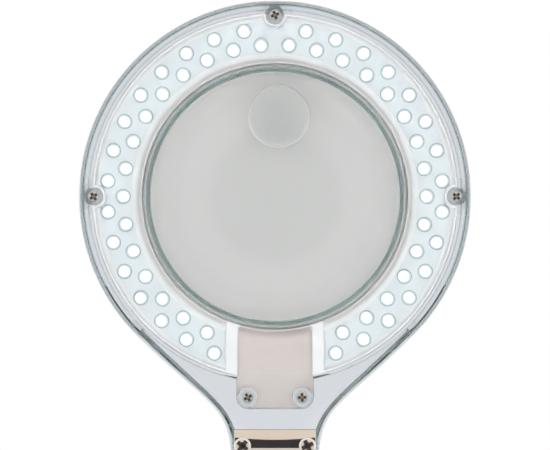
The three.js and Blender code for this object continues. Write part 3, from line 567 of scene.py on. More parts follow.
def make_materials():
    made = {
        "clear": see_through("clear_plastic", (1, 1, 1), 1.49, 0.0, 0.02, (0, 0.24, 0.22), 15),
        # Painted shade: the cover's front edges are tinted dark teal.
        "clear_edge_shade": see_through("clear_plastic_edge_shade", (0.34, 0.44, 0.44), 1.49, 0.05, 0.12),
        "frosted": see_through("frosted_plastic", (1, 1, 1), 1.49, 0.3, 0.45, (0, 0.24, 0.22), 15),
        # Painted shade: the rims' edge faces are tinted teal.
        "clear_rim_shade": see_through("clear_plastic_rim_shade", (0.44, 0.57, 0.57), 1.49, 0.03, 0.08),
        "glass": see_through("lens_glass", (1, 1, 1), 1.52, 0.0, 0.008, (0.3, 0.5, 0.45), 3, ripple=0.0005),
        # Painted light: the inset lens glows faintly.
        "inset": painted_glow_glass("inset_glass", 1.52, (0.93, 1, 0.96), 0.03),
        "lens_edge": coated("ground_lens_edge", (0.48, 0.57, 0.555), 0.35, 0.12, 2500, 0.01),
        "lens_bevel": coated("ground_lens_bevel", (0.43, 0.52, 0.505), 0.3, 0.1, 2500, 0.01),
        # Painted shade: a darker, warmer copy of the white wall for the cone's slope.
        "warm": coated("shaded_white_wall", (0.8, 0.775, 0.755), 0.45, 0.02, 2200, 0.01),
        "led_rim": coated("led_rim", (0.84, 0.92, 0.93), 0.3, 0.03, 2500, 0.005),
        # Painted light: a faint glow on white walls near the LEDs.
        "lit": glowing("lit_white_wall", (0.95, 0.95, 0.96), (0.96, 0.97, 1), 0.1),
        "white": coated("white_plastic", (0.93, 0.93, 0.94), 0.4, 0.02, 2200, 0.01),
        "board": solder_mask("led_board_mask", (0.84, 0.88, 0.905), (0.81, 0.86, 0.89), 160),
        "led": glowing("led", (0.95, 0.97, 1), (0.93, 0.97, 1), 0.6),
        "pale": coated("pale_plate", (0.765, 0.69, 0.662), 0.5, 0.03, 1800, 0.01),
        # The lid's inner face, with painted light that grows brighter towards its rim.
        "grey": painted_light_gradient("grey_plastic", (1, 0.993, 0.977), LID_PAINTED_LIGHT_STEPS),
        "grey_back": coated("grey_plastic_back", (0.3, 0.3, 0.297), 0.45, 0.03, 2600, 0.012),
        "silicone": coated("silicone_seal", (0.86, 0.87, 0.86), 0.45, 0.03, 1500, 0.01),
        "chrome": plated("chrome", (0.88, 0.87, 0.86), 0.012, 0.05),
        # Painted reflection: a dull grey-green line along the bracket's rolled top edge.
        "painted_edge_reflection": plated("painted_edge_reflection", (0.42, 0.44, 0.38), 0.3, 0.45, 0.01),
        "steel": plated("zinc_steel", (0.62, 0.61, 0.58), 0.2, 0.38, 0.01),
        # Painted shade: the screws' recesses are painted near black.
        "recess": coated("screw_recess_shade", (0.05, 0.04, 0.032), 0.6, 0.2, 3000, 0.02),
        "paint": coated("white_paint", (0.6, 0.605, 0.6), 0.32, 0.02, 700, 0.05, 0.15, coat=0.4),
        "iron": coated("cast_iron", (0.12, 0.12, 0.125), 0.7, 0.3, 500, 0.3, 0.2, metallic=0.8),
        "rubber": coated("rubber", (0.022, 0.022, 0.024), 0.85, 0.2, 1200, 0.05),
        "black": coated("black_plastic", (0.014, 0.014, 0.016), 0.45, 0.25, 1100, 0.03, 0.3),
        "mark": coated("switch_mark", (0.8, 0.8, 0.78), 0.5, 0.05, 2000, 0.01),
        "nylon": coated("nylon", (0.76, 0.73, 0.65), 0.5, 0.05, 1800, 0.02),
        "circuit": solder_mask("circuit_board", (0.02, 0.15, 0.07), (0.05, 0.24, 0.11), 260),
    }
    return made


MATERIALS = make_materials()


def painted(made, test, index):
    """Gives the faces whose middle passes the test another of the piece's materials."""
    for face in made.data.polygons:
        if test(face.center, face.normal):
            face.material_index = index
    return made


def place_piece(made, name, place, body, materials, crease=35):
    """Names a piece built in place's millimetres and lets it stand for the CAD node of that name."""
    mesh = made.data
    mesh.transform(place)
    indices = [face.material_index for face in mesh.polygons]
    mesh.materials.clear()
    for key in materials:
        mesh.materials.append(MATERIALS[key])
    mesh.polygons.foreach_set("material_index", indices)
    mesh.shade_smooth()
    mesh.set_sharp_from_angle(angle=math.radians(crease))
    made.name = name + "_detail"
    mesh.name = made.name
    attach(made, body)
    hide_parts(name)
    return made


def kept_node(name, material):
    """A CAD node that is shown as it is, with a finished material."""
    node = frame["nodes"][name]
    node.data.materials.clear()
    node.data.materials.append(MATERIALS[material])


# ---- Camera and light ----


def make_camera():
    """Straight on to the head's light side. The frame is 550 by 450, and its width spans the view's width
    at the lens."""
    view_width = 0.268
    below_lens = 0.0139
    data = bpy.data.cameras.new("camera")
    data.sensor_width = 36
    data.lens = 360
    away = view_width * data.lens / data.sensor_width
    camera = bpy.data.objects.new("camera", data)
    camera.location = LENS_MIDDLE + Vector((0, -away - 7 * MM, -below_lens))
    camera.rotation_euler = (math.pi / 2, 0, 0)
    bpy.context.scene.collection.objects.link(camera)
    bpy.context.scene.camera = camera


def make_world():
    """A white studio that gives each kind of surface its own light.

    Matt surfaces gather soft light that is strongest from the front. Bright metal mirrors warm walls and the
    dark room behind the camera. Clear plastic looks out on a paler room with a grey middle.
    """
    world = bpy.data.worlds.new("studio")
    world.use_nodes = True
    bpy.context.scene.world = world
    g = Graph(world.node_tree)
    way = g.add("TexCoord").outputs["Generated"]
    split = g.add("SeparateXYZ", {0: way})
    front = g.spread(split.outputs["Y"], 1, 0, -0.98, -0.86)
    soft = g.mix(front, (0.6, 0.61, 0.63, 1), (6.4, 6.35, 6.27, 1))
    bright = g.mix(front, (0.8, 0.815, 0.86, 1), (1.4, 1.4, 1.39, 1))
    around = g.spread(split.outputs["Y"], 0, 1, -1, 0)
    room = g.ramp(around, [(0, (1, 1, 1)), (0.055, (1, 1, 1)), (0.08, (0, 0, 0)), (1, (0, 0, 0))])
    low = g.spread(split.outputs["Z"], 0, 1, -0.5, 0.6)
    wall = g.mix(low, (0.68, 0.54, 0.43, 1), (0.84, 0.72, 0.61, 1))
    wall = g.mix(g.spread(around, 0, 1, 0.25, 0.7), wall, (0.97, 0.97, 0.98, 1))
    studio = g.mix(room, wall, (0.015, 0.013, 0.013, 1))
    through_clear = g.mix(room, bright, (0.34, 0.4, 0.41, 1))
    path = g.add("LightPath")
    mirrored = g.mix(path.outputs["Is Glossy Ray"], soft, studio)
    seen = g.mix(path.outputs["Is Transmission Ray"], mirrored, through_clear)
    gathered = g.mix(path.outputs["Diffuse Depth"], seen, soft)
    shown = g.mix(path.outputs["Is Camera Ray"], gathered, (1, 1, 1, 1))
    light = g.add("Background", {"Color": shown, "Strength": 1.0})
    g.add("OutputWorld", {"Surface": light.outputs[0]})


def make_light():
    data = bpy.data.lights.new("softbox", "AREA")
    data.shape = "DISK"
    data.size = 1.2
    data.energy = 9
    softbox = bpy.data.objects.new("softbox", data)
    softbox.visible_glossy = False
    softbox.visible_transmission = False
    softbox.location = (-0.7, -1.3, 1.6)
    aim = Vector((0, 0, 0.4)) - softbox.location
    softbox.rotation_euler = aim.to_track_quat("-Z", "Y").to_euler()
    bpy.context.scene.collection.objects.link(softbox)


def make_floor():
    """A pale round table top that fades out at its rim."""
    rim = 0.95
    made = turned([(0, -8), (rim / MM, -8), (rim / MM, 0), (0, 0)], 96)
    moved(made, Matrix.Scale(MM, 4) @ Matrix.Translation((0, 0, -0.05)))
    material, g = new_graph("floor")
    spot = g.add("TexCoord").outputs["Object"]
    away = g.add("VectorMath", {0: spot}, operation="LENGTH").outputs["Value"]
    share = g.spread(away, 0, 1, 0.3, rim)
    tint = g.mix(g.spread(g.noise(25, 5), 0, 1), (0.82, 0.82, 0.82, 1), (0.85, 0.85, 0.85, 1))
    solid = g.add("BsdfPrincipled", {"Base Color": tint, "Roughness": 0.6})
    clear = g.add("BsdfTransparent")
    faded = g.add("MixShader", {0: share, 1: solid.outputs[0], 2: clear.outputs[0]})
    g.add("OutputMaterial", {"Surface": faded.outputs[0]})
    made.data.materials.append(material)
    made.name = "floor"


# ---- Head ----


def neck_outline(inset):
    """The neck leaves the round head tangentially, flares in and runs straight to its end."""
    start = on_head(HEAD_RADIUS - inset, NECK_START)
    half = NECK_HALF - inset
    along = (math.cos(NECK_START), -math.sin(NECK_START))
    bend = (start[0] + NECK_REACH * along[0], start[1] + NECK_REACH * along[1])
    flare, radius = 0.06, 3
    waist = (half + NECK_RISE * flare, NECK_FOOT + NECK_RISE)
    flank = bezier((half, NECK_FOOT), waist, bend, start)
    corner = [(half - radius + radius * math.sin(a), NECK_END + inset + radius - radius * math.cos(a))
              for a in quarter_turns(4)]
    right = corner + flank
    return right + [(-x, y) for x, y in reversed(right)]


def neck_solid(sides):
    return lofted([[(x, y, z) for x, y in neck_outline(inset)] for inset, z in sides])


def neck_sides(wall, back, front, front_edge=0.5):
    """(inset, z) pairs: a rounded back edge, a slight draft to the front and a small front edge."""
    slope = HEAD_RADIUS - RIM_RADIUS
    edge, thinned = 7, 0.6
    wide, high = edge - wall * thinned, WIDEST - back
    pairs = [(wall + wide * (1 - math.sin(a)), WIDEST - high * math.cos(a)) for a in quarter_turns(8)]
    pairs.append((wall + slope, front - front_edge))
    if front_edge:
        pairs.append((wall + slope + front_edge * 0.3, front - front_edge * 0.3))
        pairs.append((wall + slope + front_edge, front))
    return pairs


def cover_places():
    return rim_screw_places() + [(side * NECK_SCREW_X, NECK_SCREW_Y) for side in (-1, 1)]


def cover_solid(margin, z0, z1, edge):
    """The cover as a plate: a disc, the tongue down the neck and an ear round each rim screw."""
    ear = 4.6
    disc = plate(circle(COVER_RADIUS + margin, sides=FINE), z0, z1, edge)
    half = TONGUE_HALF + margin
    tongue = plate(rectangle(-half, half, TONGUE_END - margin, 0, TONGUE_CORNER), z0, z1, edge)
    ears = [bar(ear + margin, z0, z1, x, y, edge=edge) for x, y in rim_screw_places()]
    return combined(disc, join=[tongue, *ears])


def housing_disc():
    """The round head as a solid, with a small rounded edge at its front."""
    return turned([
        (0, BACK),
        *quarter(FLAT_RADIUS, WIDEST, HEAD_RADIUS - FLAT_RADIUS, BACK - WIDEST, 20),
        (RIM_RADIUS + 0.1, FRONT - 0.6),
        (RIM_RADIUS - 0.15, FRONT - 0.2),
        (RIM_RADIUS - 0.6, FRONT),
        (0, FRONT),
    ], FINE)


def housing_chamber(seat):
    """The space for the LEDs, with a ledge under the front cover's rim."""
    wide = HEAD_RADIUS - FLAT_RADIUS - WALL
    ledge, mouth = COVER_RADIUS - 0.6, COVER_RADIUS + GAP
    return turned([
        (SLEEVE_OUTER, BACK + WALL),
        *quarter(FLAT_RADIUS, WIDEST, wide, BACK + WALL - WIDEST, 20),
        (FLAT_RADIUS + wide, seat - WALL - 0.4),
        (FLAT_RADIUS + wide - 0.4, seat - WALL),
        (ledge, seat - WALL),
        (ledge, seat),
        (mouth, seat),
        (mouth, FRONT + 1),
        (SLEEVE_INNER - 1, FRONT + 1),
        (SLEEVE_INNER - 1, SLEEVE_TOP),
        (SLEEVE_OUTER, SLEEVE_TOP),
    ], FINE)


def housing_posts(seat):
    """Bosses for the rim, neck and bracket screws, and four rests for the board."""
    rim, neck, bracket, rest = 4.2, 4, 3.6, 2
    middle = (BOARD_INNER + BOARD_OUTER) / 2
    posts = [bar(rim, BACK, seat, x, y) for x, y in rim_screw_places()]
    posts += [bar(neck, BACK, seat, side * NECK_SCREW_X, NECK_SCREW_Y) for side in (-1, 1)]
    posts += [bar(bracket, BACK, FRONT, side * BRACKET_SCREW_X, BRACKET_SCREW_Y) for side in (-1, 1)]
    corners = [on_head(middle, math.radians(angle)) for angle in (45, 135, 225, 315)]
    return posts + [bar(rest, BACK, BOARD_BACK - GAP, x, y) for x, y in corners]


def housing_well():
    """The way through the head, with the lip that the lens's gasket lies on."""
    return turned([
        (0, BACK - 1),
        (MOUTH_RADIUS + 0.4, BACK - 1),
        (MOUTH_RADIUS, BACK + 0.4),
        (LIP_RADIUS + 0.3, LIP_FOOT),
        (LIP_RADIUS, LIP_FOOT + 0.3),
        (LIP_RADIUS, LIP_TOP - 0.3),
        (LIP_RADIUS + 0.3, LIP_TOP),
        (SLEEVE_INNER, LIP_TOP),
        (SLEEVE_INNER, FRONT + 1),
        (0, FRONT + 1),
    ], FINE)


def hinge_lugs():
    thick, half, foot_half = 4, 3, 4.5
    shape = rounded([(HINGE_Y - half, HINGE_Z - half, 2.8), (HINGE_Y + half, HINGE_Z - half, 2.8),
                     (HINGE_Y + foot_half, BACK + 1, 0), (HINGE_Y - foot_half, BACK + 1, 0)])
    lugs = []
    for side in (-1, 1):
        near, far = side * (HINGE_HALF + GAP), side * (HINGE_HALF + GAP + thick)
        lugs.append(moved(plate(shape, min(near, far), max(near, far), 0.4), ALONG_X))
    return lugs


def housing_holes():
    cover_hole, bracket_hole = 1.55, 1.75
    holes = [bar(cover_hole, -2, FRONT, x, y, 24) for x, y in cover_places()]
    holes += [bar(bracket_hole, NECK_BACK - 1, FRONT + 1, side * BRACKET_SCREW_X, BRACKET_SCREW_Y, 24)
              for side in (-1, 1)]
    return holes + [moved(bar(HINGE_PIN + 0.1, -20, 20, HINGE_Y, HINGE_Z, 24), ALONG_X)]


def head_housing():
    """The clear tub: a round shell and its neck, hollow for the LEDs and open through the lens's well."""
    seat = COVER_FOOT - GAP
    neck = neck_solid(neck_sides(0, NECK_BACK, FRONT))
    hollow = neck_solid(neck_sides(WALL, NECK_BACK + WALL, COVER_FOOT, 0))
    hollow = combined(hollow, cut=[bar(SLEEVE_OUTER, BACK, FRONT, sides=FINE)])
    recess = cover_solid(GAP, seat, FRONT + 1, 0)
    cavity = combined(housing_chamber(seat), join=[hollow, recess], cut=housing_posts(seat))
    cuts = [cavity, housing_well(), *housing_holes()]
    made = combined(housing_disc(), join=[neck, *hinge_lugs()], cut=cuts)

    def shaded_rim(at, way):
        """Painted shade: the outer draft and the front edges are tinted dark teal."""
        return 0.1 < way.z < 0.96 and at.z > WIDEST and math.hypot(at.x, at.y) > COVER_RADIUS

    def frosted(at, way):
        """The neck's outer skin and the skin behind each rim screw."""
        neck_skin = at.y < -62 and at.z < FRONT - 1 and outside_neck(at.x, at.y)
        screw_skin = math.hypot(at.x, at.y) > 84 and by_rim_screw(at.x, at.y)
        return -0.985 < way.z < 0.08 and (neck_skin or screw_skin)

    # Painted shade: the rim's outer faces are tinted teal.
    painted(made, shaded_rim, 1)
    painted(made, frosted, 2)
    place_piece(made, "head_housing", ON_HEAD, "head", ["clear", "clear_rim_shade", "frosted"])


def by_rim_screw(x, y):
    reach = 9
    return min(math.hypot(x - px, y - py) for px, py in rim_screw_places()) < reach


def outside_neck(x, y):
    """Whether a point lies on the neck's outer skin rather than on its hollow."""
    flank = [at for at in neck_outline(WALL / 2) if at[0] > 0]
    near = min(flank, key=lambda at: abs(at[1] - y))
    return abs(x) > near[0]


def led_places():
    """LEDs in two staggered rows, with none at the neck or over the top screw."""
    inner, outer = LED_ROWS
    places = []
    for side in (-1, 1):
        for i in range(LEDS_PER_ROW):
            places.append(on_head(inner, side * (i + 0.5) * LED_PITCH))
            places.append(on_head(outer, side * (i + 1) * LED_PITCH))
    return places


def lenslet():
    """The cutter for the shallow pocket behind the cover over one LED, with a sloping rim."""
    sag, deep, rim = 0.05, 0.36, 0.5
    curve = curve_over(LENSLET_RADIUS, sag)
    reach = LENSLET_RADIUS - rim
    swell = [(reach * i / 5, COVER_FOOT + deep - sag + drop(curve, reach * i / 5)) for i in range(6)]
    edge = [(0, COVER_FOOT - 1), (LENSLET_RADIUS, COVER_FOOT - 1), (LENSLET_RADIUS, COVER_FOOT)]
    return turned([*edge, *reversed(swell)], 32)


def front_cover():
    """The clear face plate, with its collar over the lens's rim and a groove round each screw."""
    bevel, screw_hole = 0.45, 1.75
    cover = cover_solid(0, COVER_FOOT, FRONT, bevel)
    collar = turned([
        (COVER_HOLE - 2, COLLAR_FOOT),
        (COLLAR_RADIUS - 0.1, COLLAR_FOOT),
        (COLLAR_RADIUS, COLLAR_FOOT + 0.1),
        (COLLAR_RADIUS, COVER_FOOT - 0.3),
        (COLLAR_RADIUS + 0.3, COVER_FOOT),
        (COLLAR_RADIUS + 0.3, FRONT - 1),
        (COVER_HOLE - 2, FRONT - 1),
    ], FINE)
    hole = turned([
        (0, 0),
        (COVER_HOLE + 0.3, 0),
        (COVER_HOLE + 0.3, COLLAR_FOOT),
        (COVER_HOLE, COLLAR_FOOT + 0.3),
        (COVER_HOLE, FRONT - 0.5),
        (COVER_HOLE + 0.15, FRONT - 0.15),
        (COVER_HOLE + 0.5, FRONT),
        (COVER_HOLE + 0.5, FRONT + 1),
        (0, FRONT + 1),
    ], FINE)
    lenslets = merged([shifted(lenslet(), x, y) for x, y in led_places()])
    holes = [bar(screw_hole, COVER_FOOT - 1, FRONT + 1, x, y, 24) for x, y in cover_places()]
    groove = [(3.6, FRONT - 0.25), (3.8, FRONT - 0.25), (4.0, FRONT + 1), (3.4, FRONT + 1)]
    grooves = [shifted(turned(groove, 48), x, y) for x, y in cover_places()]
    made = combined(cover, join=[collar], cut=[hole, lenslets, *holes, *grooves])
    # Painted shade: the cover's front bevel and the slopes of its grooves are tinted dark teal.
    painted(made, lambda at, way: 0.15 < way.z < 0.96 and at.z > FRONT - 0.6, 1)
    # Painted shade: the lower faces of the cover's edge are tinted teal.
    painted(made, lambda at, way: -0.97 < way.z < -0.1 and COVER_FOOT < at.z < FRONT - 1, 2)
    place_piece(made, "front_cover", ON_HEAD, "head", ["clear", "clear_edge_shade", "clear_rim_shade"])


LENS_TOP = LENS_EDGE / 2 + drop(LENS_CURVE, LENS_RADIUS)


def at_inset(made):
    """Turns a solid made on the lens's axis to the inset's place on the lens's front face."""
    centre = LENS_TOP - LENS_CURVE
    lean = math.asin(math.hypot(INSET_X, INSET_Y) / LENS_CURVE)
    turn = math.atan2(INSET_X, INSET_Y)
    steps = (
        Matrix.Translation((0, 0, centre))
        @ Matrix.Rotation(-turn, 4, "Z")
        @ Matrix.Rotation(-lean, 4, "X")
        @ Matrix.Translation((0, 0, -centre))
    )
    return moved(made, steps)


def lens():
    """The front rim is ground to a wide two-step bevel under the cover's collar."""
    bevel_in, bevel_mid, bevel_drop, edge_drop, seam = 60.7, 62.1, 0.5, 0.9, 0.12
    steps = 20
    front = [(bevel_in * i / steps, LENS_TOP - drop(LENS_CURVE, bevel_in * i / steps))
             for i in range(steps, -1, -1)]
    back = [(LENS_RADIUS * i / steps, drop(LENS_CURVE, LENS_RADIUS * i / steps) - LENS_TOP)
            for i in range(steps + 1)]
    rim = [(LENS_RADIUS, LENS_EDGE / 2 - edge_drop), (bevel_mid, front[0][1] - bevel_drop)]
    blank = turned([*back, *rim, *front], FINE)
    pocket = at_inset(bar(INSET_RADIUS + seam, LENS_TOP - INSET_DEPTH - seam, LENS_TOP + 5, sides=96))
    made = combined(blank, cut=[pocket])
    painted(made, lambda at, way: math.hypot(at.x, at.y) > bevel_in and way.z > -0.5, 1)
    painted(made, lambda at, way: math.hypot(at.x, at.y) > bevel_mid and way.z > -0.5, 2)
    place_piece(made, "lens", ON_HEAD, "head", ["glass", "lens_bevel", "lens_edge"], 20)


def inset_lens():
    """A small dome that fills its pocket and rises a little out of the lens."""
    foot = LENS_TOP - INSET_DEPTH
    edge = LENS_TOP - drop(LENS_CURVE, INSET_RADIUS)
    curve = curve_over(INSET_RADIUS, INSET_BULGE + 0.3)
    dome = [(INSET_RADIUS * i / 12, LENS_TOP + INSET_BULGE - drop(curve, INSET_RADIUS * i / 12))
            for i in range(11, -1, -1)]
    side = [(0, foot), (INSET_RADIUS - 0.3, foot), (INSET_RADIUS, foot + 0.3), (INSET_RADIUS, edge - 0.2)]
    place_piece(at_inset(turned([*side, *dome], 96)), "inset_lens", ON_HEAD, "head", ["inset"], 20)


def lens_gasket():
    seal = ring(LENS_RADIUS + 0.2, SLEEVE_INNER - 0.1, LIP_TOP + 0.1, 1.5, 0.4, 0.4, 3, FINE)
    place_piece(seal, "lens_gasket", ON_HEAD, "head", ["silicone"])


def neck_gap(half, z0, z1):
    """The cutter for the gap that the board and the walls leave across the neck."""
    return block(-half, half, -HEAD_RADIUS, 0, z0, z1)


def led():
    """A flanged LED body with a low dome."""
    body, flange, top, flat = LED_BODY, 2.95, 5.8, 0.8
    dome = [(body * math.cos(a), top - body * flat + body * flat * math.sin(a)) for a in quarter_turns(6)]
    foot = [(0, BOARD_FRONT - 0.4), (flange, BOARD_FRONT - 0.4), (flange, BOARD_FRONT + LED_FLANGE),
            (body + 0.1, BOARD_FRONT + LED_FLANGE + 0.15)]
    return turned([*foot, *dome[:-1], (0, top)], 24)


def solder_dot():
    return turned([(0, BOARD_BACK - 0.7), (0.45, BOARD_BACK - 0.5), (0.75, BOARD_BACK - 0.02),
                   (0.75, BOARD_BACK + 0.3), (0, BOARD_BACK + 0.3)], 10)


def led_board():
    """The ring board, notched round the rim screws, with its LEDs in front and their solder behind."""
    board = ring(BOARD_INNER, BOARD_OUTER, BOARD_BACK, BOARD_FRONT, 0.1, 0.1, 1, FINE)
    notches = [bar(BOSS_CLEARANCE, 0, 4, x, y) for x, y in rim_screw_places()]
    leds = merged([shifted(led(), x, y) for x, y in led_places()])
    dots = []
    for x, y in led_places():
        lead = Vector((x, y)).normalized() * LEAD_PITCH / 2
        dots += [shifted(solder_dot(), x + side * lead.x, y + side * lead.y) for side in (-1, 1)]
    made = combined(board, cut=[*notches, neck_gap(BOARD_END, 0, 4)])
    made = combined(made, join=[leds, merged(dots)])
    painted(made, lambda at, way: at.z > BOARD_FRONT + 0.05, 3)
    painted(made, lambda at, way: at.z > BOARD_FRONT + LED_FLANGE + 0.1, 1)
    painted(made, lambda at, way: at.z < BOARD_BACK - 0.01, 2)
    place_piece(made, "led_board", ON_HEAD, "head", ["board", "led", "steel", "led_rim"])


def outer_wall():
    """The wall round the LEDs, with a sleeve round each rim screw and a gap across the neck."""
    out, back, front = CHAMBER_OUTER, WALL_BACK, WALL_FRONT
    inner = out - WALL_THICK
    wall = turned([(out - 3, back), (out, back), (out, front - 0.2), (out - 0.2, front),
                   (inner + 0.2, front), (inner, front - 0.2), (inner - 0.2, 4.6), (out - 1.7, 3.5),
                   (out - 2.4, back + 0.15)], FINE)
    sleeves = []
    cores = []
    for x, y in rim_screw_places():
        trim = turned([(out, back - 1), (HEAD_RADIUS, back - 1), (HEAD_RADIUS, front + 1),
                       (out, front + 1)], FINE)
        sleeves.append(combined(bar(5.7, back, front, x, y), cut=[trim]))
        cores.append(bar(BOSS_CLEARANCE, back - 1, front + 1, x, y))
    return combined(wall, join=sleeves, cut=[*cores, neck_gap(WALL_END, back - 1, front + 1)])


def inner_cone():
    """The wall between the LEDs and the lens, hollow-curved down to a thin foot on the board."""
    foot, top, back, front = CONE_FOOT, CONE_TOP, WALL_BACK, WALL_FRONT
    return turned([(foot, back), (foot + 2.6, back), (foot + 1.9, back + 0.12), (foot + 1.1, 3.4),
                   (foot + 0.3, 4.4), (top + 1.5, 5.6), (top + 1.1, front - 0.15), (top + 0.8, front),
                   (top + 0.2, front), (top, front - 0.2)], FINE)


def chamber_end(side):
    """The wall along one side of the neck, with a lip towards the neck, fitted between the two rounds."""
    lip, out, back, front = 18.2, CHAMBER_OUTER, WALL_BACK, WALL_FRONT
    section = rounded([(WALL_END + 1.2, back, 0), (WALL_END + 1.2, front, 0.3), (lip, front, 0.2),
                       (lip, front - 0.8, 0.2), (WALL_END, front - 0.8, 0.6), (WALL_END, back, 0)], 2)
    if side < 0:
        section = [(-x, z) for x, z in section]
    else:
        section.reverse()
    wall = moved(plate(section, -HEAD_RADIUS, 0, 0), Y_AND_Z_SWAPPED)
    wall.data.flip_normals()
    within = turned([(0, back - 1), (SLEEVE_OUTER + GAP, back - 1), (SLEEVE_OUTER + GAP, SLEEVE_TOP + GAP),
                     (CONE_FOOT, SLEEVE_TOP + GAP), (CONE_TOP, front + 1), (0, front + 1)], FINE)
    beyond = turned([(out, back - 1), (2 * HEAD_RADIUS, back - 1), (2 * HEAD_RADIUS, front + 1),
                     (out, front + 1)], FINE)
    return combined(wall, cut=[within, beyond])


def reflector_frame():
    """The white walls of the LED chamber: one round it, one round the lens and one at each end."""
    walls = combined(outer_wall(), join=[inner_cone()])
    made = combined(walls, join=[chamber_end(side) for side in (-1, 1)])
    lit_from, panel = CHAMBER_OUTER - WALL_THICK - 0.1, 17.5
    # Painted light: the outer wall's top glows faintly.
    painted(made, lambda at, way: math.hypot(at.x, at.y) > lit_from and way.z > 0.3, 1)
    # Painted shade: the cone's faces nearest the lens are painted a darker, warmer white.
    painted(made, lambda at, way: math.hypot(at.x, at.y) < CONE_FOOT - 0.2, 3)
    # Painted light: the lips of the chamber's ends glow faintly.
    painted(made, lambda at, way: at.y < -60 and panel < abs(at.x) < WALL_END + 1.3, 1)
    painted(made, lambda at, way: at.y < -60 and abs(at.x) < panel, 2)
    place_piece(made, "reflector_frame", ON_HEAD, "head", ["white", "lit", "pale", "warm"])


def neck_plate():
    """The pale plate over the wiring, notched round the neck's two screw bosses."""
    half, foot, corner = 18.4, -102.5, 2
    made = plate(rectangle(-half, half, foot, -60, corner), BOARD_BACK, BOARD_FRONT, 0.2)
    notches = [bar(SLEEVE_OUTER + GAP, 0, 4, sides=FINE)]
    for side in (-1, 1):
        near, far = side * NECK_SCREW_X, side * (half + 2)
        notches.append(bar(BOSS_CLEARANCE, 0, 4, near, NECK_SCREW_Y))
        notches.append(block(min(near, far), max(near, far), foot - 2, NECK_SCREW_Y, 0, 4))
    place_piece(combined(made, cut=notches), "neck_plate", ON_HEAD, "head", ["pale"])


def lens_cover():
    lid = turned([
        (0, DUST_BACK),
        (DUST_RADIUS - 9, DUST_BACK + 0.05),
        (DUST_RADIUS - 8.4, DUST_BACK + 0.45),
        (DUST_RADIUS - 7.2, DUST_BACK + 0.45),
        (DUST_RADIUS - 6.6, DUST_BACK + 0.1),
        (DUST_RADIUS - 3, DUST_BACK + 0.25),
        (DUST_RADIUS - 1.2, DUST_BACK + 0.9),
        (DUST_RADIUS - 0.2, DUST_BACK + 2.0),
        (DUST_RADIUS, DUST_FRONT - 0.4),
        (DUST_RADIUS - 0.4, DUST_FRONT),
        (0, DUST_FRONT),
    ], 192)
    tab = plate(rectangle(-8, 8, DUST_RADIUS - 4, DUST_RADIUS + 5, 3), DUST_BACK + 1.4, DUST_FRONT, 0.5)
    grips = [moved(bar(0.4, -6, 6, DUST_RADIUS + y, DUST_BACK + 1.4, 12), ALONG_X) for y in (0.9, 2.2, 3.5)]
    barrel = moved(bar(3, -HINGE_HALF, HINGE_HALF, HINGE_Y, HINGE_Z, edge=0.3), ALONG_X)
    strap = plate(rectangle(-HINGE_HALF, HINGE_HALF, HINGE_Y, -DUST_RADIUS + 3, 0.5), HINGE_Z + 0.2,
                  HINGE_Z + 2.6, 0.3)
    bore = moved(bar(HINGE_PIN + 0.15, -20, 20, HINGE_Y, HINGE_Z, 24), ALONG_X)
    made = combined(lid, join=[tab, barrel, strap, *grips], cut=[bore])
    # The lid's back is plain grey; its inner face keeps the painted light.
    painted(made, lambda at, way: at.z < DUST_FRONT - 0.1, 1)
    place_piece(made, "lens_cover", ON_HEAD, "dust_cover", ["grey", "grey_back"])


def lens_cover_pin():
    reach = HINGE_HALF + 4.3
    pin = moved(bar(HINGE_PIN, -reach, reach, HINGE_Y, HINGE_Z, 24, 0.3), ALONG_X)
    place_piece(pin, "lens_cover_pin", ON_HEAD, "head", ["steel"])


def cross_recess(depth, reach, top):
    """The cutter for a Phillips recess: two tapered blades."""
    blades = []
    for turn in (0, math.pi / 2):
        foot, mouth = reach * 0.35, reach
        thin, thick = reach * 0.2, reach * 0.31
        rings = []
        for long, half, z in ((foot, thin, top - depth), (mouth, thick, top), (mouth, thick, top + 1)):
            rings.append([(-long, -half, z), (long, -half, z), (long, half, z), (-long, half, z)])
        blades.append(moved(lofted(rings), Matrix.Rotation(turn, 4, "Z")))
    first, second = blades
    return combined(first, join=[second])


def pan_screw(name, spot, seat, tip, size, turn, metal):
    """A pan-head screw, its Phillips recess painted near black as shade. Its size is its head's radius and
    height and its shank's radius."""
    head, height, shank = size
    straight, domed = 0.35, 0.65
    crown = [(head * math.sin(a), seat + height * straight + height * domed * math.cos(a))
             for a in reversed(quarter_turns(7))]
    made = turned([(0, tip), (shank * 0.7, tip), (shank, tip + shank * 0.8), (shank, seat),
                   (head - 0.15, seat), (head, seat + 0.15), *crown[:-1], (0, seat + height)], 48)
    recess = cross_recess(height * 0.8, head * 0.8, seat + height - 0.25)
    made = combined(made, cut=[moved(recess, Matrix.Rotation(turn, 4, "Z"))])

    def inside(at, way):
        """The recess's walls and floor lie well below the crown."""
        away = math.hypot(at.x, at.y)
        full = seat + height * (straight + domed * math.sqrt(max(0, 1 - (away / head) ** 2)))
        return seat + height * 0.15 < at.z < full - 0.08 and away < head * 0.82

    # Painted shade: the recess is painted near black.
    painted(made, inside, 1)
    place_piece(shifted(made, *spot), name, ON_HEAD, "head", [metal, "recess"])


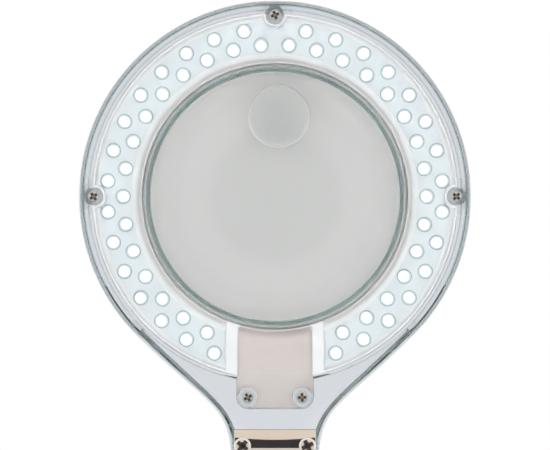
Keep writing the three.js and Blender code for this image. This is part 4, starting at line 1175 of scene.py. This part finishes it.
def head_screws():
    small, large = (2.8, 1.8, 1.45), (4.15, 2.4, 1.6)
    seat, bracket_seat, tip = FRONT + 0.05, BRACKET_FRONT + 0.05, BRACKET_BACK + 0.2
    turns = {"top": 0.35, "right": 0.85, "left": 0.6}
    for name, angle in RIM_SCREW_ANGLES.items():
        spot = on_head(RIM_SCREW_RING, angle)
        pan_screw(f"cover_screw_{name}", spot, seat, 0, small, turns[name], "steel")
    for name, side, turn in (("left", -1, 0.5), ("right", 1, 0.05)):
        spot = (side * NECK_SCREW_X, NECK_SCREW_Y)
        pan_screw(f"neck_screw_{name}", spot, seat, 0, small, turn, "steel")
        spot = (side * BRACKET_SCREW_X, BRACKET_SCREW_Y)
        pan_screw(f"bracket_screw_{name}", spot, bracket_seat, tip, large, turn + 0.4, "chrome")


def bracket_section(inset, x):
    """The U of the strip at one place across it, as (y, z) points."""
    front, back = BRACKET_FRONT, BRACKET_BACK
    foot = BRACKET_WEB - BRACKET_THICK
    bow, rear_drop, step = 1.3, 1.2, 0.75
    land_top, land_foot, land_end = -117.2, -122.3, -125.6
    sag = bow * (1 - (x / BRACKET_HALF) ** 2)
    outline = rounded([
        (BRACKET_TOP, FRONT + GAP, 0),
        (BRACKET_TOP, front - 1.3, 1.2),
        (land_top - sag, front, 1.5),
        (land_foot, front, 1.5),
        (land_end, front - step, 2),
        (foot, front - step, 4),
        (foot, back, 4),
        (BRACKET_TOP - rear_drop, back, 0.8),
        (BRACKET_TOP - rear_drop, NECK_BACK - GAP, 0),
        (BRACKET_WEB, NECK_BACK - GAP, 2),
        (BRACKET_WEB, FRONT + GAP, 2),
    ], 6)
    return inset_outline(outline, inset) if inset else outline


def neck_bracket():
    """A U of bright strip: its front leg has a rolled top edge and a raised land that its screws sit on."""
    steps = 16
    edge, chamfer = 0.35, 0.1
    half = BRACKET_HALF
    stations = [(edge, -half), (chamfer, -half + chamfer)]
    stations += [(0, -half + edge + (2 * half - 2 * edge) * i / steps) for i in range(steps + 1)]
    stations += [(chamfer, half - chamfer), (edge, half)]
    made = lofted([[(x, y, z) for y, z in bracket_section(inset, x)] for inset, x in stations])
    holes = [bar(1.75, BRACKET_BACK - 1, BRACKET_FRONT + 1, side * BRACKET_SCREW_X, BRACKET_SCREW_Y, 32)
             for side in (-1, 1)]
    stem_hole = moved(bar(STEM_RADIUS + GAP, BRACKET_WEB - 3, BRACKET_WEB + 1, STEM_Z, 0), ALONG_Y)
    made = combined(made, cut=[*holes, stem_hole])
    # Painted reflection: the rolled top edge is painted a dull grey-green.
    painted(made, lambda at, way: at.y > BRACKET_TOP - 1.4 and way.y > 0.25 and at.z > FRONT, 1)
    place_piece(made, "neck_bracket", ON_HEAD, "head", ["chrome", "painted_edge_reflection"], 30)


def swivel_stem():
    """The head's turning stem: a hexagon inside the bracket and a grooved shaft into the knuckle."""
    foot, groove, head_foot = 19 - TILT_TO_LENS, GRUB_AT - TILT_TO_LENS, BRACKET_WEB + GAP
    neck = STEM_RADIUS - 0.6
    shaft = turned([
        (0, foot),
        (STEM_RADIUS - 0.8, foot),
        (STEM_RADIUS, foot + 0.8),
        (STEM_RADIUS, groove - 2.6),
        (neck, groove - 2.3),
        (neck, groove + 2.3),
        (STEM_RADIUS, groove + 2.6),
        (STEM_RADIUS, head_foot + 1),
        (0, head_foot + 1),
    ], 48)
    head = plate(circle(8, sides=6), head_foot, NECK_END - GAP, 0.4)
    made = combined(shaft, join=[head])
    moved(made, Matrix.Translation((0, 0, STEM_Z)) @ Z_TO_Y)
    place_piece(made, "swivel_stem", ON_HEAD, "head", ["chrome"], 30)


# ---- Friction joints, each in a frame with its pivot at the origin ----


def hex_bolt():
    """A bolt with a dished hexagon head, through both ears and into the knob."""
    foot, high, tip = -EAR - GAP, 3.5, 21
    head = plate(circle(5.6, sides=6), foot - high, foot, 0.5)
    shank = bar(BOLT_RADIUS, foot - 1, tip, sides=48, edge=0.4)
    dish = bar(3.2, foot - 4, foot - 3.1, sides=48)
    return combined(head, join=[shank], cut=[dish])


def knob():
    """A lobed grip on a collar, blind-bored for the bolt's end, with a dimple and a pip on its face."""
    start, end, bore_end = 11.1, 26.5, 22.5
    radius, lobe, lobes = 10.7, 1.2, 6
    outline = []
    for x, y in circle(1, sides=96):
        reach = radius + lobe * math.cos(lobes * math.atan2(y, x))
        outline.append((reach * x, reach * y))
    grip = plate(outline, start + 2, end, 1.2)
    collar = bar(radius - 2.5, start, start + 4, sides=64, edge=0.4)
    bore = bar(BOLT_RADIUS + GAP, start - 1, bore_end, sides=48)
    dimple = turned([(0, end - 1.0), (5.8, end - 1.0), (6.4, end - 0.4), (6.8, end + 1), (0, end + 1)], 64)
    pip = turned([(0, end - 1.2), (4.2, end - 1.2), (4.2, end - 0.6), (3.4, end - 0.2), (0, end - 0.05)], 64)
    return combined(combined(grip, join=[collar], cut=[bore, dimple]), join=[pip])


def friction_joint(name, place, body, handle):
    """The bolt, washer and knob that clamp a joint."""
    place_piece(moved(hex_bolt(), ALONG_X), f"{name}_bolt", place, body, ["chrome"], 30)
    foot = EAR + GAP
    washer = ring(BOLT_RADIUS + GAP, 8, foot, foot + 1.5, 0.2, 0.3)
    place_piece(moved(washer, ALONG_X), f"{name}_washer", place, body, ["steel"])
    place_piece(moved(knob(), ALONG_X), f"{name}_knob", place, handle, ["black"])


def cross_bore(radius, z=0, sides=48):
    """The cutter for a hole along X."""
    return moved(bar(radius, -20, 20, 0, z, sides), ALONG_X)


def plug_insert():
    """The part of a plug that fills the end of its tube."""
    x, y = TUBE_X - TUBE_WALL - GAP, TUBE_Y - TUBE_WALL - GAP
    return block(-x, x, -y, y, TUBE_START - 1, TUBE_START + 18, 0.5, 0.3)


def eye(reach):
    """The round of a joint's eye, up to an angle on either side of its lowest point."""
    turns = [math.radians(turn) for turn in range(-reach, reach + 1, 6)]
    return [(EYE_RADIUS * math.sin(a), -EYE_RADIUS * math.cos(a)) for a in turns]


def tongue_plug():
    """A flat eye on a shouldered cap."""
    top = TUBE_START - GAP
    half, shoulder, cap_foot, cap_side = 8, 18, 16.5, 19.3
    neck = plate([*eye(126), (half, shoulder), (-half, shoulder)], -TONGUE, TONGUE, 0.4)
    cap = plate(rounded([(-half, cap_foot, 0.5), (half, cap_foot, 0.5), (TUBE_Y, cap_side, 0.5),
                         (TUBE_Y, top, 0.3), (-TUBE_Y, top, 0.3), (-TUBE_Y, cap_side, 0.5)], 3),
                -TUBE_X, TUBE_X, 0.5)
    cuts = [cross_bore(BOLT_RADIUS + GAP), cross_bore(PIN_RADIUS + GAP, PIN_AT, 24)]
    return combined(moved(neck, ALONG_X), join=[moved(cap, ALONG_X), plug_insert()], cut=cuts)


def clevis(block_top):
    """Two ears about the pivot that join in a block above the slot."""
    half, reach = EYE_RADIUS, EYE_RADIUS + 5
    ears = moved(plate([*eye(90), (half, block_top), (-half, block_top)], -EAR, EAR, 0.5), ALONG_X)
    slot = plate(rectangle(-TONGUE - GAP, TONGUE + GAP, -reach, SLOT, 1.0), -reach, reach, 0)
    moved(slot, Matrix.Rotation(math.pi / 2, 4, "X"))
    return combined(ears, cut=[slot, cross_bore(BOLT_RADIUS + GAP)])


def clevis_plug():
    return combined(clevis(TUBE_START - GAP), join=[plug_insert()],
                    cut=[cross_bore(PIN_RADIUS + GAP, PIN_AT, 24)])


def arm(name, place, bottom):
    """A square tube with a plug pinned into each end."""
    length = ARM_LENGTH
    x, y = TUBE_X - TUBE_WALL, TUBE_Y - TUBE_WALL
    tube = plate(rectangle(-TUBE_X, TUBE_X, -TUBE_Y, TUBE_Y, 2), TUBE_START, length - TUBE_START, 0.25)
    holes = [cross_bore(PIN_RADIUS + GAP, z, 32) for z in (PIN_AT, length - PIN_AT)]
    tube = combined(tube, cut=[block(-x, x, -y, y, 0, length, 0.6), *holes])
    top = moved(tongue_plug(), Matrix.Translation((0, 0, length)) @ TURNED_OVER)
    place_piece(tube, f"{name}_tube", place, name, ["paint"])
    place_piece(bottom, f"{name}_bottom_plug", place, name, ["chrome"], 30)
    place_piece(top, f"{name}_top_plug", place, name, ["chrome"], 30)
    for end, z in (("bottom", PIN_AT), ("top", length - PIN_AT)):
        pin = moved(bar(PIN_RADIUS, -TUBE_X, TUBE_X, 0, z, 32, 0.35), ALONG_X)
        place_piece(pin, f"{name}_{end}_pin", place, name, ["steel"])


def tilt_knuckle():
    """A clevis under a square block, bored from above for the stem and from behind for its set screw."""
    half = EYE_RADIUS
    ears = clevis(KNUCKLE_TOP - 2)
    head = block(-half, half, -half, half, KNUCKLE_FOOT, KNUCKLE_TOP, 2.5, 0.6)
    bore = bar(STEM_RADIUS + GAP, KNUCKLE_FOOT + 1, KNUCKLE_TOP + 1, sides=48)
    grub = moved(bar(GRUB_RADIUS + GAP, 0, half + 1, GRUB_AT, 0, 32), ALONG_Y)
    made = combined(ears, join=[head], cut=[bore, grub])
    place_piece(made, "tilt_knuckle", ON_WRIST, "knuckle", ["chrome"], 30)


def wrist():
    tilt_knuckle()
    web_foot = TILT_TO_LENS + BRACKET_WEB - BRACKET_THICK
    washer = ring(STEM_RADIUS + GAP, 9, KNUCKLE_TOP + GAP, web_foot - GAP, 0.2, 0.4, 3)
    place_piece(washer, "stem_washer", ON_WRIST, "knuckle", ["nylon"])
    screw = bar(GRUB_RADIUS, STEM_RADIUS - 0.3, 9.5, sides=32, edge=0.3)
    socket = plate(circle(1.05, sides=6), 7.5, 11, 0)
    grub = moved(combined(screw, cut=[socket]), Matrix.Translation((0, 0, GRUB_AT)) @ Z_TO_Y)
    place_piece(grub, "stem_set_screw", ON_WRIST, "knuckle", ["steel"])
    friction_joint("tilt", ON_WRIST, "knuckle", "tilt_handle")


# ---- Base ----


def base_cover():
    """The domed shell of the base, with its screw bosses, the switch's window and the inlet's hole."""
    flat, shoulder = 72, 12
    wide, rise = BASE_RADIUS - flat, BASE_TOP - shoulder
    outside = list(reversed(quarter(flat, shoulder, wide, rise, 24)))
    inside = quarter(flat, shoulder, wide - WALL, rise - WALL, 12)
    shell = turned([
        (BASE_RADIUS - WALL, BASE_SKIRT),
        (BASE_RADIUS - 0.4, BASE_SKIRT),
        (BASE_RADIUS, BASE_SKIRT + 0.4),
        *outside,
        (27.5, BASE_TOP),
        (27.0, BASE_TOP - 0.35),
        (26.0, BASE_TOP - 0.35),
        (25.5, BASE_TOP),
        (6.6, BASE_TOP),
        (6.3, BASE_TOP - 0.3),
        (6.3, BASE_TOP - WALL),
        *inside,
    ], FINE)
    boss, hole, boss_ring, boss_foot = 4.5, 1.8, 60, 14.3
    spots = [(boss_ring * math.cos(a), boss_ring * math.sin(a)) for a in map(math.radians, (90, 210, 330))]
    bosses = [bar(boss, boss_foot, BASE_TOP - 1, x, y) for x, y in spots]
    holes = [bar(hole, 0, BASE_TOP - WALL, x, y) for x, y in spots]
    x, y = SWITCH_HALF_X + GAP, SWITCH_HALF_Y + GAP
    window = block(-x, x, SWITCH_Y - y, SWITCH_Y + y, 20, BASE_TOP + 1, 1)
    inlet = moved(bar(INLET_RADIUS + GAP, BASE_RADIUS - 10, BASE_RADIUS + 10, INLET_Z, 0, 64), ALONG_Y)
    made = combined(shell, join=bosses, cut=[*holes, window, inlet])
    place_piece(made, "base_cover", ON_BASE, "base", ["paint"])


def base_pad():
    """A rubber disc with rings of shallow grooves below."""
    pitch, deep = 8, 0.5
    grooves = []
    for radius in range(88, 20, -pitch):
        grooves += [(radius, 0), (radius - 0.4, deep), (radius - 1.6, deep), (radius - 2, 0)]
    made = turned([(0, 0), *reversed(grooves), (PAD_RADIUS - 0.5, 0), (PAD_RADIUS, 0.5),
                   (PAD_RADIUS, PAD_THICK - 0.3), (PAD_RADIUS - 0.3, PAD_THICK), (0, PAD_THICK)], 160)
    place_piece(made, "base_pad", ON_BASE, "base", ["rubber"])


def base_turret():
    """A round foot that sweeps up to a neck, with the shoulder's ears on it and bored for the stud."""
    foot, flange, radius, waist, neck, sweep = 29.6, 35, 21, 12.5, 44, 7.5
    height = SHOULDER.z / MM
    flank = [(waist + sweep * (1 - math.sin(a)), neck - (neck - flange) * math.cos(a))
             for a in quarter_turns(8)[1:]]
    body = turned([
        (0, foot),
        (radius - 0.4, foot),
        (radius, foot + 0.4),
        (radius, flange - 1),
        (radius - 0.3, flange - 0.3),
        (radius - 1, flange),
        *flank,
        (waist, neck + 2.4),
        (waist - 0.6, neck + 3),
        (0, neck + 3),
    ], 96)
    ears = moved(clevis(height - neck), Matrix.Translation((0, 0, height)) @ TURNED_OVER)
    made = combined(body, join=[ears], cut=[bar(5.3, foot - 1, height - SLOT - 4, sides=48)])
    place_piece(made, "base_turret", ON_BASE, "turret", ["chrome"], 30)


def swivel_washer():
    washer = ring(6.3, 20, BASE_TOP + GAP, BASE_TOP + 1.3, 0.2, 0.3, 2, 96)
    place_piece(washer, "swivel_washer", ON_BASE, "turret", ["nylon"])


def switch_bezel():
    x, y = SWITCH_HALF_X, SWITCH_HALF_Y
    flange = block(-x - 2, x + 2, -y - 2.5, y + 2.5, BASE_TOP + GAP, BASE_TOP + 2, 1.5, 0.5)
    body = block(-x, x, -y, y, SWITCH_PIVOT - 9, BASE_TOP + 1, 0.6)
    well = block(-5.4, 5.4, -8.3, 8.3, SWITCH_PIVOT - 6.5, BASE_TOP + 3, 0.4)
    bore = moved(bar(1.5, -9, 9, 0, SWITCH_PIVOT, 24), ALONG_X)
    made = shifted(combined(flange, join=[body], cut=[well, bore]), y=SWITCH_Y)
    place_piece(made, "switch_bezel", ON_BASE, "base", ["black"])


def switch_rocker():
    """A hollow-topped key on two pins, tipped to its off side, with a bar and a ring as marks."""
    tipped = math.radians(-6)
    reach, low, dip = 7.3, 2, 1.4
    hollow = [(reach - 2 * reach * i / 10, low + dip * abs(1 - i / 5) ** 1.6) for i in range(11)]
    key = moved(plate([(-6, -4), (6, -4), (8, 0), *hollow, (-8, 0)], -5.1, 5.1, 0.35), ALONG_X)
    pins = moved(bar(1.2, -6.7, 6.7, sides=24), ALONG_X)
    line = block(-0.3, 0.3, -6.1, -3.5, 1.5, 3.0, 0.2, 0.1)
    loop = shifted(turned([(0.9, 1.5), (1.4, 1.5), (1.4, 2.95), (0.9, 2.95)], 32), y=4.8)
    made = combined(key, join=[pins, line, loop])

    def marked(at, way):
        return way.z > 0.9 and at.z > 2.7 and abs(at.x) < 1.5 and 3.3 < abs(at.y) < 6.3

    painted(made, marked, 1)
    moved(made, Matrix.Translation((0, SWITCH_Y, SWITCH_PIVOT)) @ Matrix.Rotation(tipped, 4, "X"))
    place_piece(made, "switch_rocker", ON_BASE, "rocker", ["black", "mark"])


def dc_inlet():
    """A case behind the base's wall, with a round socket through it and a pin inside."""
    rear = BASE_RADIUS
    case = block(-6, 6, 74, rear - 3.5, INLET_Z - 4.5, INLET_Z + 5.5, 0.5, 0.3)
    sleeve = turned([(0, rear - 5), (INLET_RADIUS, rear - 5), (INLET_RADIUS, rear),
                     (INLET_RADIUS - 0.4, rear + 0.4), (0, rear + 0.4)], 64)
    well = turned([(0, rear - 11), (3.2, rear - 11), (3.2, rear - 0.3), (3.6, rear + 0.5), (3.6, rear + 2),
                   (0, rear + 2)], 64)
    contact = turned([(0, rear - 12), (1.05, rear - 12), (1.05, rear - 2.6), (0.5, rear - 2),
                      (0, rear - 2)], 32)
    for part in (sleeve, well, contact):
        moved(part, Matrix.Translation((0, 0, INLET_Z)) @ Z_TO_Y)
    made = combined(combined(case, join=[sleeve], cut=[well]), join=[contact])
    painted(made, lambda at, way: math.hypot(at.x, at.z - INLET_Z) < 1.2 and at.y > rear - 10.9, 1)
    place_piece(made, "dc_inlet", ON_BASE, "base", ["black", "steel"])


# ---- The lamp ----

make_camera()
make_world()
make_light()
make_floor()

head_housing()
front_cover()
lens()
inset_lens()
lens_gasket()
led_board()
reflector_frame()
neck_plate()
lens_cover()
lens_cover_pin()
head_screws()
neck_bracket()
swivel_stem()
wrist()
arm("lower_arm", ON_LOWER_ARM, tongue_plug())
arm("upper_arm", ON_UPPER_ARM, clevis_plug())
friction_joint("elbow", ON_UPPER_ARM, "upper_arm", "elbow_handle")
friction_joint("shoulder", ON_TURRET, "turret", "shoulder_handle")
base_cover()
base_pad()
base_turret()
swivel_washer()
switch_bezel()
switch_rocker()
dc_inlet()
kept_node("base_weight", "iron")
kept_node("driver_board", "circuit")
for hidden_steel in ("swivel_stud", "swivel_spring_washer", "swivel_nut", "base_screw_1", "base_screw_2",
                     "base_screw_3"):
    kept_node(hidden_steel, "steel")

bpy.context.scene.view_settings.view_transform = "Standard"
bpy.context.scene.cycles.max_bounces = 24
bpy.context.scene.cycles.transmission_bounces = 24
bpy.context.scene.cycles.glossy_bounces = 24
